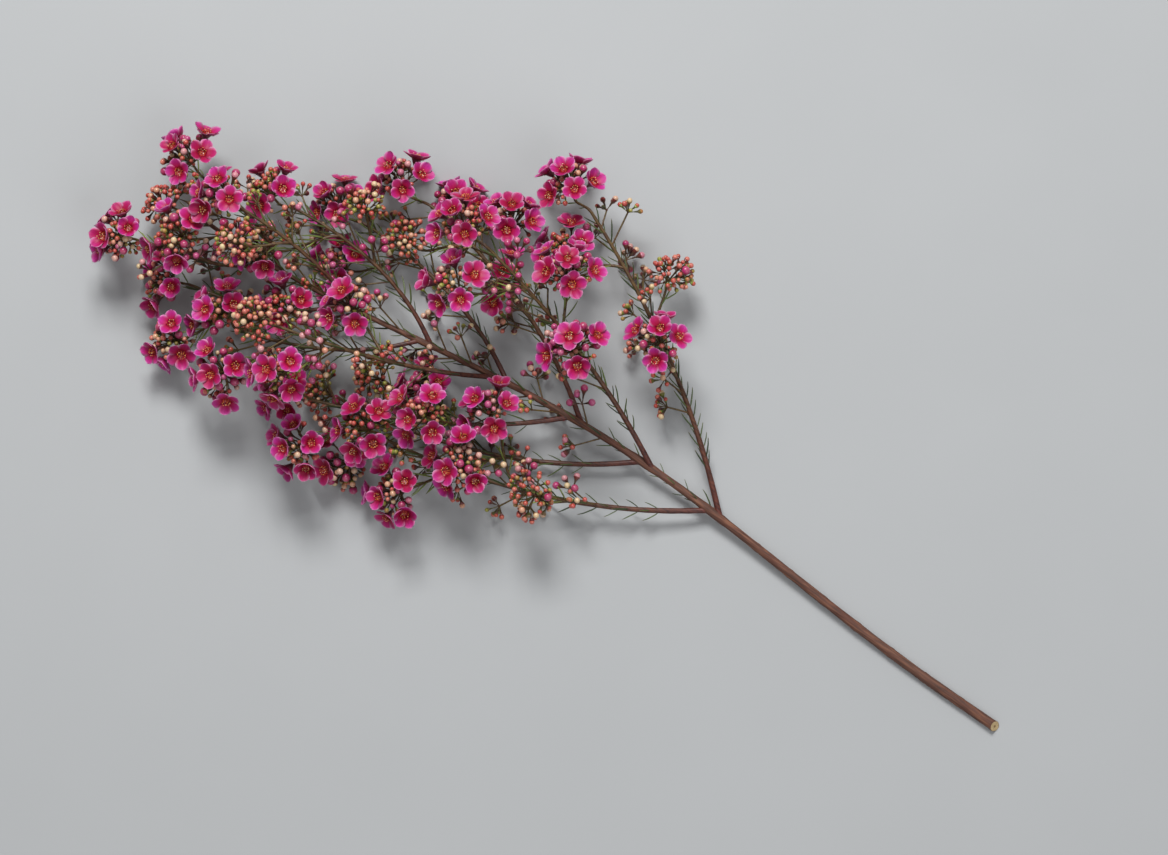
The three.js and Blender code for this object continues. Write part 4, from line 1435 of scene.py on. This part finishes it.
def grow_bud_twigs(number, carrier, start, end):
    random = stream(1000 + number)
    count = math.floor((end - start) * length_of(carrier.path) / BUD_TWIG_STEP)
    for i in range(count):
        at = start + (end - start) * (i + random(0.2, 0.8)) / count
        forward = direction_on(carrier.path, at)
        root = carrier.path(at)
        axil = SimpleNamespace(node=1000 + len(bud_twigs), carrier=carrier, foot=root, hub=root)
        for attempt in range(BUD_TWIG_ATTEMPTS):
            turn = SPIRAL * i + BUD_TWIG_TURN * attempt
            way = leaning(forward, math.radians(random(28, 58)), turn)
            fork = grow_fork(axil, way, random(11, 22), random(0.1, 0.9), TINY_GAP)
            if fork and fill_tuft(fork, random, BUD_TWIG_BUDS, BUD_TWIG_AGES, BUD_TWIG_GROWTH):
                bud_twigs.append(fork)
                break


for number, branch in enumerate(branches):
    grow_bud_twigs(number, branch, 0.3, 0.97)
grow_bud_twigs(len(branches), leader, 0.5, 0.98)

bud_twig_paths = Paths()
for fork in bud_twigs:
    points = sampled(curve(fork.site.hub, mix(fork.site.hub, fork.base, 0.5), fork.base), 4)
    bud_twig_paths.add(points, BUD_TWIG_RADIUS, np.linspace(*BUD_TWIG_YOUTH, len(points)))
show(bud_twig_paths.piece("bud_twigs", sides=5, knot_size=0.15, seed=14))

# ---- Needle leaves ----
# Leathery green needles, bowed a little, each on a short narrow foot that joins the bark. A few short
# ones stand round the knob of every head, among its stalks.

BRACTS = 6
BRACT_LENGTH = 8

for site in sites:
    random = stream(800 + site.number)
    for k in range(BRACTS):
        root = mix(site.foot, site.hub, 0.5 * (k % 3))
        turn = SPIRAL * k + random(-0.4, 0.4)
        length = BRACT_LENGTH * random(0.7, 1.3)
        try_leaf(site.node, random, root, site.axis, turn, length, 1, TWIG_RADIUS)

NEEDLE_SIDES = 5
NEEDLE_WIDTH = 0.62
NEEDLE_FLATNESS = 0.62
NEEDLE_PROFILE = ((0.0, 0.6), (0.1, 0.75), (0.25, 1.0), (0.65, 0.9), (0.9, 0.55))
NEEDLE_TIP = (0.25, 0, 1.0)
NEEDLE_BOWS = (0.6, 1.6, 2.6)
LEAF_FOOT = 0.8


def needle_shape(name, bow):
    """A needle along Z, 1 long and 1 in radius, bowed by so many radii, with a short point."""
    points = []
    for height, radius in NEEDLE_PROFILE:
        off = bow * height * (1 - height) * 2
        for k, turn in enumerate(turns(NEEDLE_SIDES)):
            flat = NEEDLE_FLATNESS if k in (2, 3) else 1.0
            points.append((radius * flat * math.cos(turn) - off, radius * math.sin(turn), height))
    faces = tube(len(NEEDLE_PROFILE), NEEDLE_SIDES)[:-1]
    tip = len(points)
    last = tip - NEEDLE_SIDES
    faces += [(last + k, last + (k + 1) % NEEDLE_SIDES, tip) for k in range(NEEDLE_SIDES)]
    points.append(NEEDLE_TIP)
    return mesh_object(name, points, faces, 1.0, height=[point[2] for point in points])


def needle_look(add, place, tint, youth, height):
    """Leathery needle with a waxy skin full of oil glands: dark olive green with a brownish point,
    and yellow green on the youngest twigs."""
    old = add("ShaderNodeValToRGB", {"Fac": tint}, stops=((0.0, "#2C3D1C"), (1.0, "#5A6B2E")))
    young = add("ShaderNodeValToRGB", {"Fac": tint}, stops=((0.0, "#5E7430"), (1.0, "#93A045")))
    aged = add("ShaderNodeMix", {"Factor": youth, 6: old, 7: young}, **COLOUR_MIX)
    point = add("ShaderNodeValToRGB", {"Fac": height}, stops=((0.8, "#000000"), (1.0, "#909090")))
    tipped = add("ShaderNodeMix", {"Factor": point, 6: aged, 7: "#A8703C"}, **COLOUR_MIX)
    glands = add("ShaderNodeTexNoise", blotches(place, 0.4, 1.0))
    dotted = add("ShaderNodeMath", {0: glands, 1: 0.4}, operation="MULTIPLY")
    return add("ShaderNodeMix", {"Factor": dotted, 6: tipped, 7: "#24301A"}, **COLOUR_MIX), glands


rows = []
for number, leaf in enumerate(leaves):
    axis = unit(leaf.tip - leaf.root)
    side = unit(leaf.forward - axis * (leaf.forward @ axis))
    slope = math.sqrt(1 - (leaf.forward @ axis) ** 2)
    foot = leaf.root + axis * (LEAF_FOOT * leaf.bark / slope)
    sort = number % len(NEEDLE_BOWS)
    rows.append((foot, axis, side, distance(leaf.tip, foot) / LEAF_LENGTH, sort))
shapes = [needle_shape(f"needle_{n}", bow) for n, bow in enumerate(NEEDLE_BOWS)]
needle_skin = material(
    "waxy_needle", needle_look, 0.05, ("tint", "youth", "height"), Roughness=0.42, Coat_Weight=0.15
)
needle_leaves = organ_piece(
    "needle_leaves", rows, shapes, LEAF_LENGTH, seed=13, skin=needle_skin, width=NEEDLE_WIDTH,
    youth=[leaf.youth for leaf in leaves],
)
show(needle_leaves)

# ---- Bud cups ----
# Each bud stands in a floral cup like a ball on a tee, which tapers into its stalk: green in the
# youngest, red-brown in the ripe. The smallest have a plainer shape with fewer sides.

BUD_CUP_PROFILE = (
    (0.0, -1.5), (0.19, -1.45), (0.25, -0.5), (0.42, 0.15), (0.7, 0.68), (0.94, 1.06), (0.98, 1.2),
    (0.0, 1.12),
)
TINY_CUP_PROFILE = ((0.0, -1.4), (0.24, -1.3), (0.42, 0.15), (1.0, 1.12), (0.0, 1.05))
BUD_CUPS = ((BUD_CUP_PROFILE, 10), (TINY_CUP_PROFILE, 8))  # each with its number of sides
TINY_RADIUS = 1.7  # below this a bud has the plainer shapes


def bud_cup_look(add, place, height, tint, stage):
    """Waxy plant skin as on the flower cups, but greener: the youngest buds' cups are fresh green."""
    ripe = add("ShaderNodeValToRGB", {"Fac": height}, stops=((0.0, "#48301E"), (0.9, "#74302C")))
    fresh = add("ShaderNodeValToRGB", {"Fac": height}, stops=((0.0, "#525C24"), (0.9, "#8A9438")))
    age = add("ShaderNodeMath", {0: tint, 1: 0.9, 2: stage}, operation="MULTIPLY_ADD")
    aged = add("ShaderNodeValToRGB", {"Fac": age}, stops=((0.45, "#000000"), (0.8, "#FFFFFF")))
    base = add("ShaderNodeMix", {"Factor": aged, 6: fresh, 7: ripe}, **COLOUR_MIX)
    return base, add("ShaderNodeTexNoise", blotches(place, 0.35))


rows = []
for number, bud in enumerate(buds):
    side = around(across(bud.axis), SPIRAL * number)
    rows.append((bud.base, bud.axis, side, bud.radius, int(bud.radius < TINY_RADIUS)))
stages = [bud.stage for bud in buds]
shapes = [
    turned_shape(f"bud_cup_{n}", profile, sides, height=ring_height)
    for n, (profile, sides) in enumerate(BUD_CUPS)
]
bud_cup_skin = material(
    "waxy_bud_cup", bud_cup_look, 0.04, ("height", "tint", "stage"), Roughness=0.4, Coat_Weight=0.2
)
bud_cups = organ_piece("bud_cups", rows, shapes, 1.0, seed=9, skin=bud_cup_skin, stage=stages)
show(bud_cups)

# ---- Bud petals ----
# The five petals of a bud, folded over one another into a round waxy ball that fills its cup's
# mouth. Their edges show as shallow seams in a spiral.

BUD_PROFILE = (
    (0.0, 0.8), (0.8, 0.92), (1.0, 1.45), (0.92, 1.88), (0.64, 2.24), (0.28, 2.43), (0.0, 2.47)
)
TINY_PROFILE = ((0.0, 0.8), (0.88, 1.05), (1.0, 1.55), (0.68, 2.2), (0.0, 2.47))
BUD_BOTTOM = 0.8
BUD_HEIGHT = 1.67
BUD_SIDES = 10  # two to each petal
BUD_SEAMS = 0.022
BUD_TWIST = 0.5


def share_of_height(number, height):
    return (height - BUD_BOTTOM) / BUD_HEIGHT


def bud_look(add, place, tint, stage, height):
    """Folded petals under wax. Buds are yellow green, then orange red, cream, pink and, when ripe,
    magenta, each with its top painted paler as a highlight, and a soft highlight."""
    shift = add("ShaderNodeMath", {0: tint, 1: 0.16, 2: -0.08}, operation="MULTIPLY_ADD")
    age = add("ShaderNodeMath", {0: stage, 1: shift}, operation="ADD")
    shade = add(
        "ShaderNodeValToRGB", {"Fac": age},
        stops=(
            (0.02, "#9CA43C"), (0.12, "#BC5638"), (0.26, "#C2443A"), (0.4, "#D8806A"),
            (0.54, "#E2CE9C"), (0.68, "#DCA0A0"), (0.8, "#C04484"), (1.0, "#B02064"),
        ),
    )
    # The top of every bud is painted paler: a painted highlight.
    painted_top_highlight = add("ShaderNodeValToRGB", {"Fac": height}, stops=((0.5, "#000000"), (0.95, "#606060")))
    top_highlighted = add("ShaderNodeMix", {"Factor": painted_top_highlight, 6: shade, 7: "#F0C8B8"}, **COLOUR_MIX)
    folds = add("ShaderNodeTexNoise", blotches(place, 0.9))
    shadow = add("ShaderNodeMath", {0: folds, 1: 0.3}, operation="MULTIPLY")
    return add("ShaderNodeMix", {"Factor": shadow, 6: top_highlighted, 7: "#861C34"}, **COLOUR_MIX), folds


bud_skin = material(
    "waxy_bud_petals", bud_look, 0.06, ("tint", "stage", "height"), Roughness=0.3,
    Coat_Weight=0.35, Coat_Roughness=0.25, Subsurface_Weight=0.1, Subsurface_Scale=0.0015,
)
shapes = [
    turned_shape(f"bud_ball_{n}", profile, BUD_SIDES, BUD_SEAMS, BUD_TWIST, height=share_of_height)
    for n, profile in enumerate((BUD_PROFILE, TINY_PROFILE))
]
bud_petals = organ_piece("bud_petals", rows, shapes, 1.0, seed=10, skin=bud_skin, stage=stages)
show(bud_petals)

# ---- Flower stalks ----
# Every flower and bud has a thin stalk from the knob at the end of its twig, or from a fork. It
# springs from the knob and curves until it meets its cup squarely, a little thicker at the end.

FLOWER_STALK = 0.48
FORK_STALK = 0.44
BUD_STALK = 0.8  # of the room kept for it
FLOWER_YOUTH = 0.45
FORK_YOUTH = 0.55
YOUTH_LOST = 0.6  # by a ripe bud's stalk
STALK_SWELLING = (1.15, 0.95, 0.9, 0.92, 1.0, 1.15)
BUD_STALK_SWELLING = (1.1, 0.9, 1.0)
STALK_BEND = 0.35
INTO_CUP = 0.3
INTO_BUD_CUP = 0.5  # in radii of the bud


def add_stalk(paths, start, way, end, axis, thickness, swelling, youth):
    reach = distance(start, end)
    bent = curve(start, start + way * STALK_BEND * reach, end - axis * STALK_BEND * reach, end)
    points = sampled(bent, len(swelling) - 1)
    paths.add(points, thickness * np.array(swelling), youth)


stalk_paths = Paths()
for flower in flowers:
    end = flower.base + flower.axis * INTO_CUP
    make = (FLOWER_STALK, STALK_SWELLING, FLOWER_YOUTH)
    add_stalk(stalk_paths, flower.site.hub, flower.way, end, flower.axis, *make)
for fork in forks:
    make = (FORK_STALK, STALK_SWELLING, FORK_YOUTH)
    add_stalk(stalk_paths, fork.site.hub, fork.way, fork.base, fork.way, *make)
show(stalk_paths.piece("flower_stalks", sides=5, knot_size=0.1, seed=11))

bud_paths = Paths()
for bud in buds:
    start = bud.start if bud.stalk_radius < RIPE_STALK else bud.site.hub
    end = bud.base - bud.axis * INTO_BUD_CUP * bud.radius
    way = unit(bud.base - start)
    make = (BUD_STALK * bud.stalk_radius, BUD_STALK_SWELLING, 1 - YOUTH_LOST * bud.stage)
    add_stalk(bud_paths, start, way, end, bud.axis, *make)
show(bud_paths.piece("bud_stalks", sides=4, knot_size=0.1, seed=15))

KNOB_PROFILE = ((0.0, -1.0), (0.55, -0.8), (0.9, -0.3), (0.95, 0.3), (0.6, 0.75), (0.0, 0.9))
KNOB_SIDES = 8
KNOB_RIBS = 0.06
KNOB_SIZE = 1.25
FORK_KNOB = 0.55

knob = turned_shape("knob", KNOB_PROFILE, KNOB_SIDES, KNOB_RIBS)
rows = [(s.hub, s.axis, across(s.axis)[0], 1.0, 0) for s in sites]
rows += [(f.base, f.way, across(f.way)[0], FORK_KNOB, 0) for f in forks + bud_twigs]
head_knobs = organ_piece(
    "head_knobs", rows, [knob], KNOB_SIZE, seed=12, skin=twig_skin, unevenness=0.1
)
show(head_knobs)

# ---- Surface, light and camera ----
# A plain pale grey surface, one large soft lamp from the side of the flowers, a weaker one opposite,
# and a camera that looks down on the stem as it lies.

SURFACE_HALF = 6000
MOTTLE_SIZE = 120


def board_look(add, place):
    """A matte painted board, very faintly mottled."""
    mottle = add("ShaderNodeTexNoise", blotches(place, MOTTLE_SIZE, 3.0))
    stops = ((0.3, "#AEB0B1"), (0.7, "#B0B2B3"))
    return add("ShaderNodeValToRGB", {"Fac": mottle}, stops=stops), None


corners = [(-1, -1, 0), (1, -1, 0), (1, 1, 0), (-1, 1, 0)]
surface = mesh_object("surface", corners, [(0, 1, 2, 3)], SURFACE_HALF * MM)
surface.data.materials.append(material("matte_grey_board", board_look, 0, Roughness=0.85))
bpy.context.scene.collection.objects.link(surface)

FRAME_WIDTH = 660
CAMERA_DISTANCE = 2200
CAMERA_TILT = 8
STEM_ANGLE = 35
SENSOR = 36
AIM = (4, 268, 25)

turn = math.radians(STEM_ANGLE - 90)
picture_right = np.array((math.cos(turn), math.sin(turn), 0.0))
picture_up = np.array((-math.sin(turn), math.cos(turn), 0.0))
tilt = math.radians(CAMERA_TILT)
towards_camera = UP * math.cos(tilt) - picture_up * math.sin(tilt)
camera_up = picture_up * math.cos(tilt) + UP * math.sin(tilt)


def aimed(made, towards, up, away):
    """Puts a camera or lamp in the scene, so far away in a direction, and aims it at the stem."""
    made.location = (np.array(AIM) + towards * away) * MM
    rotation = np.array((np.cross(up, towards), up, towards)).T
    made.rotation_euler = Matrix(rotation.tolist()).to_euler()
    bpy.context.scene.collection.objects.link(made)


def lamp(name, towards, away, size, watts, shade):
    """A square soft lamp that shines on the stem from a direction."""
    data = bpy.data.lights.new(name, "AREA")
    data.size, data.energy, data.color = size * MM, watts, linear(shade)[:3]
    towards = unit(towards)
    aimed(bpy.data.objects.new(name, data), towards, across(towards)[1], away)


camera = bpy.data.objects.new("camera", bpy.data.cameras.new("camera"))
camera.data.sensor_width = SENSOR
camera.data.lens = SENSOR * CAMERA_DISTANCE / FRAME_WIDTH
aimed(camera, towards_camera, camera_up, CAMERA_DISTANCE)
bpy.context.scene.camera = camera

flower_side = picture_up * 0.75 - picture_right * 0.15 + UP
stem_side = -picture_up * 0.8 + picture_right * 0.6 + UP
lamp("key_lamp", flower_side, away=2200, size=800, watts=47, shade="#FFFFFF")
lamp("fill_lamp", stem_side, away=2400, size=1600, watts=17, shade="#F6F7FB")

DAYLIGHT_STRENGTH = 0.33
world = bpy.data.worlds.new("studio")
world.use_nodes = True
daylight = world.node_tree.nodes["Background"].inputs
daylight["Color"].default_value = linear("#E6E7E8")
daylight["Strength"].default_value = DAYLIGHT_STRENGTH
bpy.context.scene.world = world

# The standard view keeps the petals' pinks as strong as their materials give them.
bpy.context.scene.view_settings.view_transform = "Standard"
